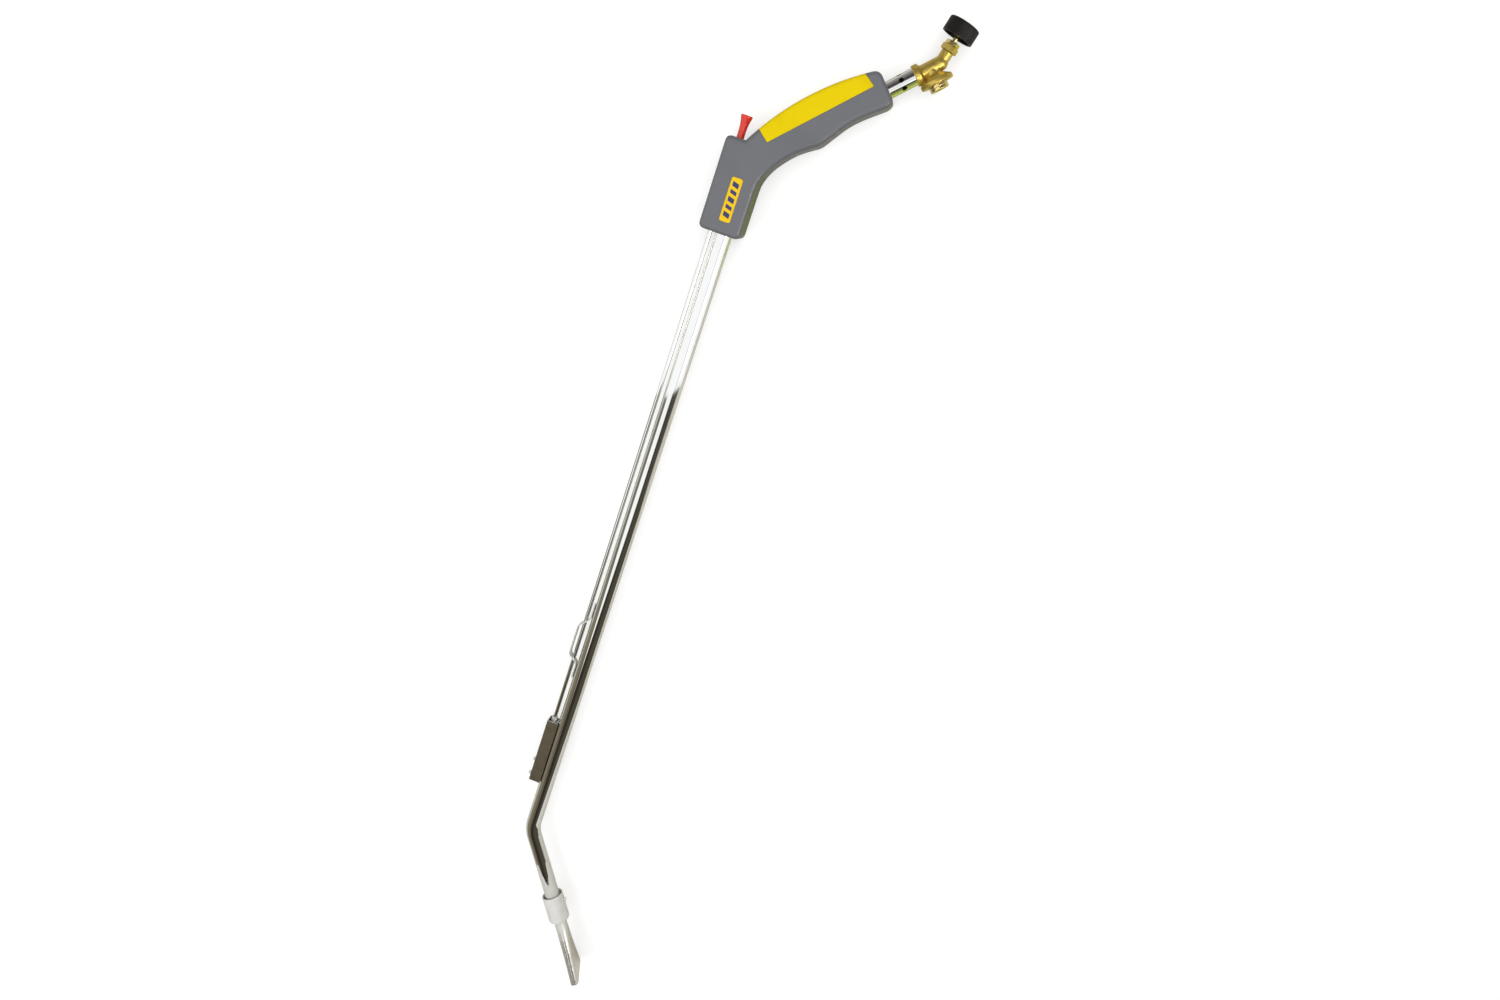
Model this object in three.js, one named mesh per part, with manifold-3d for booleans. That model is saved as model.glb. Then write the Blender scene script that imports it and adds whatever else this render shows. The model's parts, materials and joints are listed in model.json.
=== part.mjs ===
// Propane torch lance: a long gas tube with a two-shell handle, a brass cartridge valve
// above the handle, a push-rod igniter beside the tube and a flat flame nozzle at its end.
// Units are millimetres, +Z up. The torch lies on its side: +X runs up the straight tube
// towards the handle, +Y points to the igniter side, +Z through the handle's thickness.

import * as THREE from "three";
import { mergeVertices } from "three/addons/utils/BufferGeometryUtils.js";
import Module from "manifold-3d";

const wasm = await Module();
wasm.setup();

// ---------------------------------------------------------------- driving dimensions

const GAP = 0.3; // clearance between neighbouring pieces
const DEGREE = Math.PI / 180;

// gas tube: three straight runs joined by two bends, centred on Z = 0
const TUBE_R = 8;
const TUBE_WALL = 1.2;
const TUBE_CHANNEL_R = 8.6; // twelve-sided passage through the handle
const GRIP_BEND_X = 70.3; // corner of the bend inside the handle
const GRIP_ANGLE = 45 * DEGREE;
const GRIP_BEND_R = 40;
const GRIP_RUN = 171.7; // from the bend's corner to the tube's top end
const HEAD_BEND_X = -674.5; // corner of the bend above the burner
const HEAD_ANGLE = 32 * DEGREE;
const HEAD_BEND_R = 36;
const HEAD_RUN = 104; // from the bend's corner to the tube's burner end
const AIR_HOLE_R = 2.3;
const AIR_HOLE_S = 155.5;
const AIR_HOLE_ANGLES = [-75, -15, 45, 105]; // degrees from straight up, towards the fingers

// handle: a housing along the straight tube and a grip along its bent top run
const HANDLE_HALF = 19;
const HANDLE_EDGE = 4; // edge rounding
const HANDLE_WALL = 5;
const HOUSING_FOOT_X = 4;
const HOUSING_TOP_X = 90;
const HOUSING_LEFT_Y = 23.3;
const HOUSING_RIGHT_Y = -17;
const HOUSING_CORNER = 6;
const GRIP_END_S = 142;
const GRIP_BACK_R = 250; // arc of the grip's back
const GRIP_BACK_S = 75.6; // where that arc is highest
const GRIP_BACK_T = 26.4; // and how high above the tube's centre
const INLAY_T = 2; // soft inlay thickness
const INLAY_LOW_T = 7;
const SEAM_HALF = 0.15; // half of the parting gap between the shells

// igniter: button, rod and piezo on one line beside the tube
const ROD_Y = 13.4;
const ROD_R = 2;
const BUTTON_R = 3.5;
const BUTTON_FLARE_R = 5.6;
const BUTTON_TOP_X = 111;
const BUTTON_FOOT_X = 76;
const SPRING_SEAT_X = 58;
const BOX_TOP_X = -538.5;
const BOX_FOOT_X = -614;
const BOX_HALF_Z = 6.5;
const BOX_LOW_Y = 8.3;
const BOX_LIP_Y = 6.6; // the box's side walls reach down past the tube's crown
const BOX_HIGH_Y = 19.3;
const SHEET_T = 1;
const LEAD_X = -604; // where the spark lead enters the tube
const LEAD_R = 1.2;

// valve: distances along the grip run (S) and along the spindle from the elbow
const COLLAR_S = 167.6;
const BARREL_S = 172;
const ELBOW_S = 192;
const BARREL_R = 6.5;
const COLLAR_R = 9.6;
const CARTRIDGE_S = 183;
const FLANGE_R = 14.8;
const SOCKET_R = 8.4;
const SOCKET_BORE_R = 5.6;
const SOCKET_END = 20.3; // distance of the socket's mouth from the tube's centre line
const SPINDLE_TURN = 31.5 * DEGREE; // spindle against the barrel
const SPINDLE_R = 2.4;
const KNOB_R = 14.7;
const KNOB_FOOT = 24.5;
const KNOB_TOP = 38;
const KNOB_FLUTES = 20;

// burner head: distances along the head run from its bend's corner
const CUP_TOP = 84.5;
const CUP_FOOT = 117;
const CUP_R = 11.6;
const CUP_SCREW_S = 93;
const NOZZLE_END = 187;
const NOZZLE_HALF_WIDTH = 25;
const NOZZLE_HALF_THICKNESS = 4.6;
const NOZZLE_ROLL = -14 * DEGREE; // the flat mouth is turned a little about its axis
const NOZZLE_NECK_R = 7;
const NOZZLE_WALL = 0.8;

// ---------------------------------------------------------------- materials

const finish = (color, roughness, metalness) =>
  new THREE.MeshStandardMaterial({ color, roughness, metalness });

const GREY_PLASTIC = finish(0x6d6e72, 0.55, 0);
const YELLOW_RUBBER = finish(0xe8cf00, 0.6, 0);
const YELLOW_LABEL = finish(0xf6d000, 0.35, 0);
const RED_PLASTIC = finish(0xd8281e, 0.3, 0);
const BLACK_PLASTIC = finish(0x1a1718, 0.5, 0);
const CHROME = finish(0xd8d8d8, 0.08, 1);
const ZINC = finish(0xc9c9c4, 0.35, 1);
const DARK_SHEET = finish(0x57534a, 0.4, 1);
const BRIGHT_STEEL = finish(0xd9d9d2, 0.25, 1);
const CAST_BRASS = finish(0xb39a45, 0.4, 1);
const TURNED_BRASS = finish(0xd9c06a, 0.2, 1);
const RUBBER = finish(0x151515, 0.8, 0);
const CERAMIC = finish(0xeee9dc, 0.4, 0);

// ---------------------------------------------------------------- solid helpers

// A closed solid from a three.js geometry, with shared vertices merged.
function toSolid(geometry) {
  const bare = geometry.clone();
  bare.deleteAttribute("normal");
  bare.deleteAttribute("uv");
  const merged = mergeVertices(bare);
  const index = merged.index.array;
  const kept = [];
  for (let i = 0; i < index.length; i += 3) {
    const [a, b, c] = [index[i], index[i + 1], index[i + 2]];
    if (a !== b && b !== c && c !== a) kept.push(a, b, c);
  }
  const vertProperties = new Float32Array(merged.attributes.position.array);
  const triVerts = new Uint32Array(kept);
  return new wasm.Manifold(new wasm.Mesh({ numProp: 3, vertProperties, triVerts }));
}

function toGeometry(solid) {
  const { vertProperties, triVerts } = solid.getMesh();
  const geometry = new THREE.BufferGeometry();
  geometry.setAttribute("position", new THREE.BufferAttribute(vertProperties, 3));
  geometry.setIndex(new THREE.BufferAttribute(triVerts, 1));
  geometry.computeVertexNormals();
  return geometry;
}

const joined = (first, ...rest) => rest.reduce((sum, next) => sum.add(next), first);
const without = (first, ...rest) => rest.reduce((left, next) => left.subtract(next), first);

// A turned piece about +X from a profile of [radius, x] points.
function turned(profile, sides = 20) {
  const points = profile.map(([radius, x]) => new THREE.Vector2(radius, x));
  return new THREE.LatheGeometry(points, sides).rotateZ(-Math.PI / 2);
}

const rod = (radius, from, to, sides = 20) =>
  turned([[0, from], [radius, from], [radius, to], [0, to]], sides);

const ring = (inner, outer, from, to, sides = 20) =>
  turned([[inner, from], [outer, from], [outer, to], [inner, to], [inner, from]], sides);

const box = (x0, x1, y0, y1, z0, z1) =>
  new THREE.BoxGeometry(x1 - x0, y1 - y0, z1 - z0).translate(
    (x0 + x1) / 2,
    (y0 + y1) / 2,
    (z0 + z1) / 2,
  );

// A flat outline in XY given thickness between two Z levels.
const plate = (shape, z0, z1, curveSegments = 3) =>
  new THREE.ExtrudeGeometry(shape, {
    depth: z1 - z0,
    bevelEnabled: false,
    curveSegments,
  }).translate(0, 0, z0);

const circle = (radius) => new THREE.Shape().absarc(0, 0, radius, 0, 2 * Math.PI, false);

const upright = (radius, x, y, z0, z1, sides = 12) =>
  new THREE.CylinderGeometry(radius, radius, z1 - z0, sides)
    .rotateX(Math.PI / 2)
    .translate(x, y, (z0 + z1) / 2);

function piece(name, geometry, material, frame) {
  const mesh = new THREE.Mesh(geometry, material);
  mesh.name = name;
  frame.add(mesh);
}

// ---------------------------------------------------------------- frames

const lance = new THREE.Group();

// +X along the grip run towards the valve, +Y towards the grip's back
const gripFrame = new THREE.Group();
gripFrame.position.x = GRIP_BEND_X;
gripFrame.rotation.z = -GRIP_ANGLE;
gripFrame.updateMatrix();

// +X out along the spindle, from the valve's elbow
const spindleFrame = new THREE.Group();
spindleFrame.position.x = ELBOW_S;
spindleFrame.rotation.z = SPINDLE_TURN;
spindleFrame.updateMatrix();

// +X out of the cartridge socket, from the tube's centre line
const cartridgeFrame = new THREE.Group();
cartridgeFrame.position.x = CARTRIDGE_S;
cartridgeFrame.rotation.z = -Math.PI / 2;
cartridgeFrame.updateMatrix();

// +X along the burner head, from its bend's corner
const headFrame = new THREE.Group();
headFrame.position.x = HEAD_BEND_X;
headFrame.rotation.z = Math.PI + HEAD_ANGLE;
headFrame.updateMatrix();

lance.add(gripFrame, headFrame);
gripFrame.add(spindleFrame, cartridgeFrame);

// A point given along the grip run (s) and above it (t), in the lance's own XY.
function gripPoint(s, t) {
  const point = new THREE.Vector3(s, t, 0).applyMatrix4(gripFrame.matrix);
  return new THREE.Vector2(point.x, point.y);
}

const headPoint = (s) => new THREE.Vector3(s, 0, 0).applyMatrix4(headFrame.matrix);

// ---------------------------------------------------------------- gas tube

// A path made of stations, each with a point and a tangent, spaced as given.
class StationPath extends THREE.Curve {
  constructor(stations) {
    super();
    this.stations = stations;
  }

  station(u) {
    return this.stations[Math.round(u * (this.stations.length - 1))];
  }

  getPointAt(u) {
    return this.station(u).point.clone();
  }

  getTangentAt(u) {
    return this.station(u).tangent.clone();
  }
}

const heading = (angle) => new THREE.Vector3(Math.cos(angle), Math.sin(angle), 0);
const leftOf = (angle) => new THREE.Vector3(-Math.sin(angle), Math.cos(angle), 0);

// Stations round a bend at a corner on the X axis, turning from one heading to another.
function bend(cornerX, radius, from, to, steps) {
  const turn = Math.sign(to - from);
  const reach = radius * Math.tan(Math.abs(to - from) / 2);
  const start = new THREE.Vector3(cornerX, 0, 0).addScaledVector(heading(from), -reach);
  const centre = start.clone().addScaledVector(leftOf(from), turn * radius);
  const stations = [];
  for (let i = 0; i <= steps; i += 1) {
    const angle = from + ((to - from) * i) / steps;
    const point = centre.clone().addScaledVector(leftOf(angle), -turn * radius);
    stations.push({ point, tangent: heading(angle) });
  }
  return stations;
}

function tubePath() {
  const first = Math.PI - GRIP_ANGLE;
  const last = Math.PI + HEAD_ANGLE;
  const top = gripPoint(GRIP_RUN, 0);
  return new StationPath([
    { point: new THREE.Vector3(top.x, top.y, 0), tangent: heading(first) },
    ...bend(GRIP_BEND_X, GRIP_BEND_R, first, Math.PI, 4),
    ...bend(HEAD_BEND_X, HEAD_BEND_R, Math.PI, last, 4),
    { point: headPoint(HEAD_RUN), tangent: heading(last) },
  ]);
}

function alongTube(shape, curveSegments) {
  const extrudePath = tubePath();
  const steps = extrudePath.stations.length - 1;
  return new THREE.ExtrudeGeometry(shape, { steps, extrudePath, curveSegments });
}

function mainTube() {
  const section = circle(TUBE_R);
  section.holes.push(circle(TUBE_R - TUBE_WALL));
  let tube = toSolid(alongTube(section, 10));
  const drillLength = 1.5 * TUBE_R;
  for (const angle of AIR_HOLE_ANGLES) {
    const drill = new THREE.CylinderGeometry(AIR_HOLE_R, AIR_HOLE_R, drillLength, 12);
    drill.translate(0, drillLength / 2, 0).rotateX((90 + angle) * DEGREE);
    drill.translate(AIR_HOLE_S, 0, 0).applyMatrix4(gripFrame.matrix);
    tube = tube.subtract(toSolid(drill));
  }
  const leadHole = new THREE.CylinderGeometry(LEAD_R + 0.8, LEAD_R + 0.8, TUBE_R, 10);
  return toGeometry(tube.subtract(toSolid(leadHole.translate(LEAD_X, TUBE_R, 0))));
}

// ---------------------------------------------------------------- handle

// The finger side of the grip, as [along, above] points of the grip run.
const FINGER_SIDE = [
  [3.5, -21.6],
  [16, -16],
  [30, -13.5],
  [45, -13.1],
  [58, -15.1],
  [68, -16.8],
  [82, -14.4],
  [97, -12.1],
  [112, -12.2],
  [134, -14.6],
];

// Moves an open line of points sideways, to the left of its direction.
function shifted(points, distance) {
  return points.map((point, i) => {
    const before = points[Math.max(i - 1, 0)];
    const after = points[Math.min(i + 1, points.length - 1)];
    const along = after.clone().sub(before).normalize();
    return new THREE.Vector2(point.x - along.y * distance, point.y + along.x * distance);
  });
}

// The handle's side outline, moved in by a distance.
function handleOutline(inset) {
  const foot = HOUSING_FOOT_X + inset;
  const top = HOUSING_TOP_X - inset;
  const left = HOUSING_LEFT_Y - inset;
  const right = HOUSING_RIGHT_Y + inset;
  const rear = GRIP_END_S - inset;
  const corner = Math.max(HOUSING_CORNER - inset, 1);

  const backRadius = GRIP_BACK_R - inset;
  const backCentre = gripPoint(GRIP_BACK_S, GRIP_BACK_T - GRIP_BACK_R);
  const backHeight = (s) =>
    GRIP_BACK_T - GRIP_BACK_R + Math.sqrt(backRadius ** 2 - (s - GRIP_BACK_S) ** 2);
  const backStart = gripPoint(rear - corner, backHeight(rear - corner));
  const crotchRise = Math.sqrt(backRadius ** 2 - (top - backCentre.x) ** 2);
  const startAngle = Math.atan2(backStart.y - backCentre.y, backStart.x - backCentre.x);
  const endAngle = Math.atan2(crotchRise, top - backCentre.x);

  const straightEnd = new THREE.Vector2(44, HOUSING_RIGHT_Y);
  const fingers = FINGER_SIDE.map(([s, t]) => gripPoint(s, t));
  const belly = shifted([straightEnd, ...fingers], inset);
  const heel = FINGER_SIDE.at(-1)[1] + inset;
  const heelCorner = gripPoint(rear, heel);
  const rearLow = gripPoint(rear, heel + corner);
  const rearHigh = gripPoint(rear, backHeight(rear) - corner);
  const rearCorner = gripPoint(rear, backHeight(rear));

  const shape = new THREE.Shape();
  shape.moveTo(foot, right + corner);
  shape.quadraticCurveTo(foot, right, foot + corner, right);
  shape.lineTo(belly[0].x, belly[0].y);
  shape.splineThru(belly.slice(1));
  shape.quadraticCurveTo(heelCorner.x, heelCorner.y, rearLow.x, rearLow.y);
  shape.lineTo(rearHigh.x, rearHigh.y);
  shape.quadraticCurveTo(rearCorner.x, rearCorner.y, backStart.x, backStart.y);
  shape.absarc(backCentre.x, backCentre.y, backRadius, startAngle, endAngle, false);
  shape.lineTo(top, left - corner);
  shape.quadraticCurveTo(top, left, top - corner, left);
  shape.lineTo(foot + corner, left);
  shape.quadraticCurveTo(foot, left, foot, left - corner);
  return shape;
}

// The handle's full body, moved in by a distance, with its edges rounded to match.
function handleBody(inset) {
  const half = HANDLE_HALF - inset;
  const edge = Math.max(HANDLE_EDGE - inset, 0);
  const geometry = new THREE.ExtrudeGeometry(handleOutline(inset), {
    depth: 2 * (half - edge),
    bevelEnabled: edge > 0,
    bevelThickness: edge,
    bevelSize: edge,
    bevelOffset: -edge,
    bevelSegments: 2,
    curveSegments: 3,
  });
  return toSolid(geometry.translate(0, 0, edge - half));
}

// The side view of the soft inlay on the grip's back, grown by a margin.
function inlayRegion(margin) {
  const far = 40;
  const corners = [
    [26.8 - margin, INLAY_LOW_T - margin],
    [131.8 + margin, INLAY_LOW_T - margin],
    [125.5 + margin, far],
    [23.3 - margin, far],
  ];
  const shape = new THREE.Shape(corners.map(([s, t]) => gripPoint(s, t)));
  return toSolid(plate(shape, -far, far));
}

// Screw places, in the lance's own XY.
const SCREW_PLACES = [
  new THREE.Vector2(14, -13),
  new THREE.Vector2(56, -14),
  gripPoint(24, 12.5),
  gripPoint(76, 14),
  gripPoint(128, 12),
];
const SCREW_R = 1.6;
const SCREW_HEAD_R = 3.2;
const SCREW_SEAT_Z = -14.5;
const SCREW_TIP_Z = 9.7;
const BOSS_R = 3.2;

function labelShape(margin) {
  const [x0, x1, y0, y1] = [16 - margin, 56.6 + margin, -4.3 - margin, 6.3 + margin];
  const r = 2;
  const shape = new THREE.Shape();
  shape.moveTo(x0 + r, y0);
  shape.lineTo(x1 - r, y0);
  shape.quadraticCurveTo(x1, y0, x1, y0 + r);
  shape.lineTo(x1, y1 - r);
  shape.quadraticCurveTo(x1, y1, x1 - r, y1);
  shape.lineTo(x0 + r, y1);
  shape.quadraticCurveTo(x0, y1, x0, y1 - r);
  shape.lineTo(x0, y0 + r);
  shape.quadraticCurveTo(x0, y0, x0 + r, y0);
  return shape;
}

// Ribs across the hollow that carry the tube and seat the button's spring.
function handleRibs() {
  const reach = 60;
  const ribs = [
    box(30, 32, -reach, reach, -reach, reach),
    box(SPRING_SEAT_X - 2, SPRING_SEAT_X, -8, reach, -reach, reach),
    box(51, 53, -reach, reach, -reach, reach).applyMatrix4(gripFrame.matrix),
    box(104, 106, -reach, reach, -reach, reach).applyMatrix4(gripFrame.matrix),
  ];
  const lining = handleBody(HANDLE_WALL - 0.2);
  return ribs.map((rib) => toSolid(rib).intersect(lining));
}

// Both shells as one hollow body, before it is parted.
function hollowHandle() {
  const bosses = SCREW_PLACES.map(({ x, y }) => {
    const height = HANDLE_HALF - HANDLE_WALL + 1;
    return toSolid(upright(BOSS_R, x, y, -height, height)).intersect(handleBody(1));
  });
  const shells = without(handleBody(0), handleBody(HANDLE_WALL));
  const pocket = inlayRegion(GAP).subtract(handleBody(INLAY_T + GAP));
  const alongRod = (radius, from, to) => toSolid(rod(radius, from, to).translate(0, ROD_Y, 0));
  return without(
    joined(shells, ...handleRibs(), ...bosses),
    toSolid(alongTube(circle(TUBE_CHANNEL_R), 6)),
    alongRod(ROD_R + GAP, 0, SPRING_SEAT_X + 1),
    alongRod(BUTTON_R + GAP, HOUSING_TOP_X - HANDLE_WALL - 1, HOUSING_TOP_X + 1),
    pocket,
  );
}

function handleShells() {
  const body = hollowHandle();
  const reach = 400;
  const upper = toSolid(box(-reach, reach, -reach, reach, SEAM_HALF, reach));
  const lower = toSolid(box(-reach, reach, -reach, reach, -reach, -SEAM_HALF));
  const labelSeat = toSolid(plate(labelShape(GAP), HANDLE_HALF - 1.2, HANDLE_HALF + 1));
  const hole = ({ x, y }) => toSolid(upright(SCREW_R + GAP, x, y, -20, SCREW_TIP_Z + GAP));
  const counterbore = ({ x, y }) => toSolid(upright(3.6, x, y, -20, SCREW_SEAT_Z));
  const holes = SCREW_PLACES.map(hole);
  const near = without(body.intersect(upper), labelSeat, ...holes);
  const far = without(body.intersect(lower), ...holes, ...SCREW_PLACES.map(counterbore));
  piece("handle_shell_near", toGeometry(near), GREY_PLASTIC, lance);
  piece("handle_shell_far", toGeometry(far), GREY_PLASTIC, lance);
}

function gripInlay() {
  const skin = handleBody(0).intersect(inlayRegion(0));
  return toGeometry(skin.subtract(handleBody(INLAY_T)));
}

// A pan-head screw along +Z with a cross recess, its head below.
function handleScrew() {
  const seat = SCREW_SEAT_Z - GAP;
  const low = seat - 2;
  const profile = [
    [0, low],
    [2.4, low],
    [SCREW_HEAD_R, low + 0.8],
    [SCREW_HEAD_R, seat],
    [SCREW_R, seat],
    [SCREW_R, SCREW_TIP_Z - 2],
    [0.4, SCREW_TIP_Z],
    [0, SCREW_TIP_Z],
  ];
  const body = toSolid(turned(profile, 12).rotateY(-Math.PI / 2));
  const slots = [
    box(-1.8, 1.8, -0.4, 0.4, low - 1, low + 1),
    box(-0.4, 0.4, -1.8, 1.8, low - 1, low + 1),
  ];
  return toGeometry(without(body, ...slots.map(toSolid)));
}

function handle() {
  handleShells();
  piece("grip_inlay", gripInlay(), YELLOW_RUBBER, lance);
  const label = plate(labelShape(0), HANDLE_HALF - 0.9, HANDLE_HALF);
  piece("label_plate", label, YELLOW_LABEL, lance);
  SCREW_PLACES.forEach(({ x, y }, i) => {
    piece(`handle_screw_${i + 1}`, handleScrew().translate(x, y, 0), ZINC, lance);
  });
}

// ---------------------------------------------------------------- igniter

function igniterButton() {
  const collar = HOUSING_TOP_X - HANDLE_WALL - 2;
  const profile = [
    [0, BUTTON_FOOT_X],
    [BUTTON_R, BUTTON_FOOT_X],
    [BUTTON_R, collar - 2],
    [BUTTON_R + 1.1, collar - 2],
    [BUTTON_R + 1.1, collar],
    [BUTTON_R, collar],
    [BUTTON_R, 97],
    [3.9, 101],
    [4.6, 105],
    [BUTTON_FLARE_R, 109],
    [BUTTON_FLARE_R, 110],
    [4.6, BUTTON_TOP_X - 0.2],
    [0, BUTTON_TOP_X],
  ];
  const socket = rod(ROD_R + GAP, BUTTON_FOOT_X - 1, BUTTON_FOOT_X + 8, 12);
  return toGeometry(toSolid(turned(profile, 16)).subtract(toSolid(socket)));
}

// The button's return spring, a round-wire helix about the rod.
class Helix extends THREE.Curve {
  constructor(radius, from, to, turns) {
    super();
    Object.assign(this, { radius, from, to, turns });
  }

  getPoint(t) {
    const angle = 2 * Math.PI * this.turns * t;
    const x = this.from + (this.to - this.from) * t;
    const y = this.radius * Math.cos(angle);
    return new THREE.Vector3(x, y, this.radius * Math.sin(angle));
  }
}

function buttonSpring() {
  const wire = 0.45;
  const low = SPRING_SEAT_X + GAP + wire;
  const high = BUTTON_FOOT_X - GAP - wire;
  const extrudePath = new Helix(3.4, low, high, 5);
  return new THREE.ExtrudeGeometry(circle(wire), { steps: 50, extrudePath, curveSegments: 3 });
}

// A folded strip that follows a line of points, centred on it.
function strip(points, thickness, halfWidth) {
  const line = points.map(([x, y]) => new THREE.Vector2(x, y));
  const upper = shifted(line, thickness / 2);
  const lower = shifted(line, -thickness / 2);
  const shape = new THREE.Shape([...lower, ...upper.reverse()]);
  return plate(shape, -halfWidth, halfWidth);
}

function guideBracket() {
  const low = TUBE_R + GAP + 0.6;
  const high = 19;
  const route = [
    [-482.5, low],
    [-465, low],
    [-463, low + 1],
    [-457.5, high - 1],
    [-456, high],
    [-424, high],
    [-422, high - 1],
    [-413.5, low + 1],
    [-411.5, low],
    [-395, low],
  ];
  const guide = rod(ROD_R + GAP, -490, -390).translate(0, ROD_Y, 0);
  return toGeometry(toSolid(strip(route, 1.2, 4)).subtract(toSolid(guide)));
}

const RIVET_PLACES = { box_rivet_upper: -591.5, box_rivet_lower: -609 };
const RIVET_HEAD_R = 1.9;
const PIEZO_TOP_X = -566;
const PIEZO_FOOT_X = BOX_FOOT_X + SHEET_T + GAP;

const crossDrill = (radius, x, y0, y1) =>
  toSolid(
    new THREE.CylinderGeometry(radius, radius, y1 - y0, 10).translate(x, (y0 + y1) / 2, 0),
  );

function igniterBox() {
  const outside = box(BOX_FOOT_X, BOX_TOP_X, BOX_LOW_Y, BOX_HIGH_Y, -BOX_HALF_Z, BOX_HALF_Z);
  const inside = box(
    BOX_FOOT_X + SHEET_T,
    BOX_TOP_X + 1,
    BOX_LOW_Y + SHEET_T,
    BOX_HIGH_Y - SHEET_T,
    SHEET_T - BOX_HALF_Z,
    BOX_HALF_Z - SHEET_T,
  );
  const rivetHoles = Object.values(RIVET_PLACES).map((x) => crossDrill(1.3, x, 18, 20));
  const leadHole = crossDrill(LEAD_R + 0.8, LEAD_X, BOX_LOW_Y - 1, BOX_LOW_Y + 2);
  const lipTop = BOX_LOW_Y + SHEET_T / 2;
  const lips = [
    box(BOX_FOOT_X, BOX_TOP_X, BOX_LIP_Y, lipTop, BOX_HALF_Z - SHEET_T, BOX_HALF_Z),
    box(BOX_FOOT_X, BOX_TOP_X, BOX_LIP_Y, lipTop, -BOX_HALF_Z, SHEET_T - BOX_HALF_Z),
  ];
  const shell = joined(toSolid(outside), ...lips.map(toSolid));
  return toGeometry(without(shell, toSolid(inside), ...rivetHoles, leadHole));
}

function piezoBody() {
  const low = BOX_LOW_Y + SHEET_T + GAP;
  const high = BOX_HIGH_Y - SHEET_T - GAP;
  const block = toSolid(box(PIEZO_FOOT_X, PIEZO_TOP_X, low, high, -5, 5));
  const bore = toSolid(rod(3.2 + GAP, PIEZO_TOP_X - 16, PIEZO_TOP_X + 1).translate(0, ROD_Y, 0));
  const rivetHoles = Object.values(RIVET_PLACES).map((x) => crossDrill(1.3, x, 15, 20));
  return toGeometry(without(block, bore, ...rivetHoles));
}

function piezoPlunger() {
  const top = -552;
  const foot = PIEZO_TOP_X - 8;
  const profile = [
    [0, foot],
    [3.2, foot],
    [3.2, top - 1],
    [2.6, top],
    [0, top],
  ];
  return turned(profile).translate(0, ROD_Y, 0);
}

function boxRivet(x) {
  const head = BOX_HIGH_Y + GAP;
  const profile = [
    [0, 15.3],
    [1, 15.3],
    [1, head],
    [RIVET_HEAD_R, head],
    [RIVET_HEAD_R, head + 1.8],
    [1.2, head + 2.6],
    [0, head + 2.8],
  ];
  return turned(profile, 12).rotateZ(Math.PI / 2).translate(x, 0, 0);
}

// The spark lead: out of the piezo, into the tube and down it to the insulator.
function ignitionLead() {
  const start = BOX_LOW_Y + SHEET_T;
  const route = [
    [LEAD_X, start],
    [LEAD_X, 6.4],
    [LEAD_X - 2, 3.2],
    [LEAD_X - 7, 1],
    [LEAD_X - 16, 0.2],
    [-640, 0],
    [-664, 0],
  ].map(([x, y]) => new THREE.Vector3(x, y, 0));
  const below = [8, 20, 50, 90 - GAP].map(headPoint);
  const extrudePath = new THREE.CatmullRomCurve3([...route, ...below]);
  return new THREE.ExtrudeGeometry(circle(LEAD_R), { steps: 32, extrudePath, curveSegments: 3 });
}

function sparkElectrode() {
  const points = [
    [102 + GAP, 0],
    [107, 0],
    [111, 1.6],
    [114, 3.4],
  ];
  const extrudePath = new THREE.CatmullRomCurve3(
    points.map(([x, y]) => new THREE.Vector3(x, y, 0)),
  );
  return new THREE.ExtrudeGeometry(circle(0.6), { steps: 6, extrudePath, curveSegments: 3 });
}

function igniter() {
  const beside = (geometry) => geometry.translate(0, ROD_Y, 0);
  piece("igniter_button", beside(igniterButton()), RED_PLASTIC, lance);
  piece("button_spring", beside(buttonSpring()), ZINC, lance);
  piece("push_rod", beside(rod(ROD_R, -551.7, BUTTON_FOOT_X + 7.7, 16)), CHROME, lance);
  piece("rod_ferrule", beside(ring(ROD_R + GAP, 3.1, -543, -534)), ZINC, lance);
  piece("guide_bracket", guideBracket(), ZINC, lance);
  piece("igniter_box", igniterBox(), DARK_SHEET, lance);
  piece("piezo_body", piezoBody(), BLACK_PLASTIC, lance);
  piece("piezo_plunger", piezoPlunger(), CERAMIC, lance);
  for (const [name, x] of Object.entries(RIVET_PLACES)) {
    piece(name, boxRivet(x), ZINC, lance);
  }
  piece("ignition_lead", ignitionLead(), RUBBER, lance);
  piece("electrode_insulator", rod(2, 90, 102, 12), CERAMIC, headFrame);
  piece("spark_electrode", sparkElectrode(), BRIGHT_STEEL, headFrame);
}

// ---------------------------------------------------------------- valve

const along = (geometry, frame) => geometry.applyMatrix4(frame.matrix);

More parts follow.
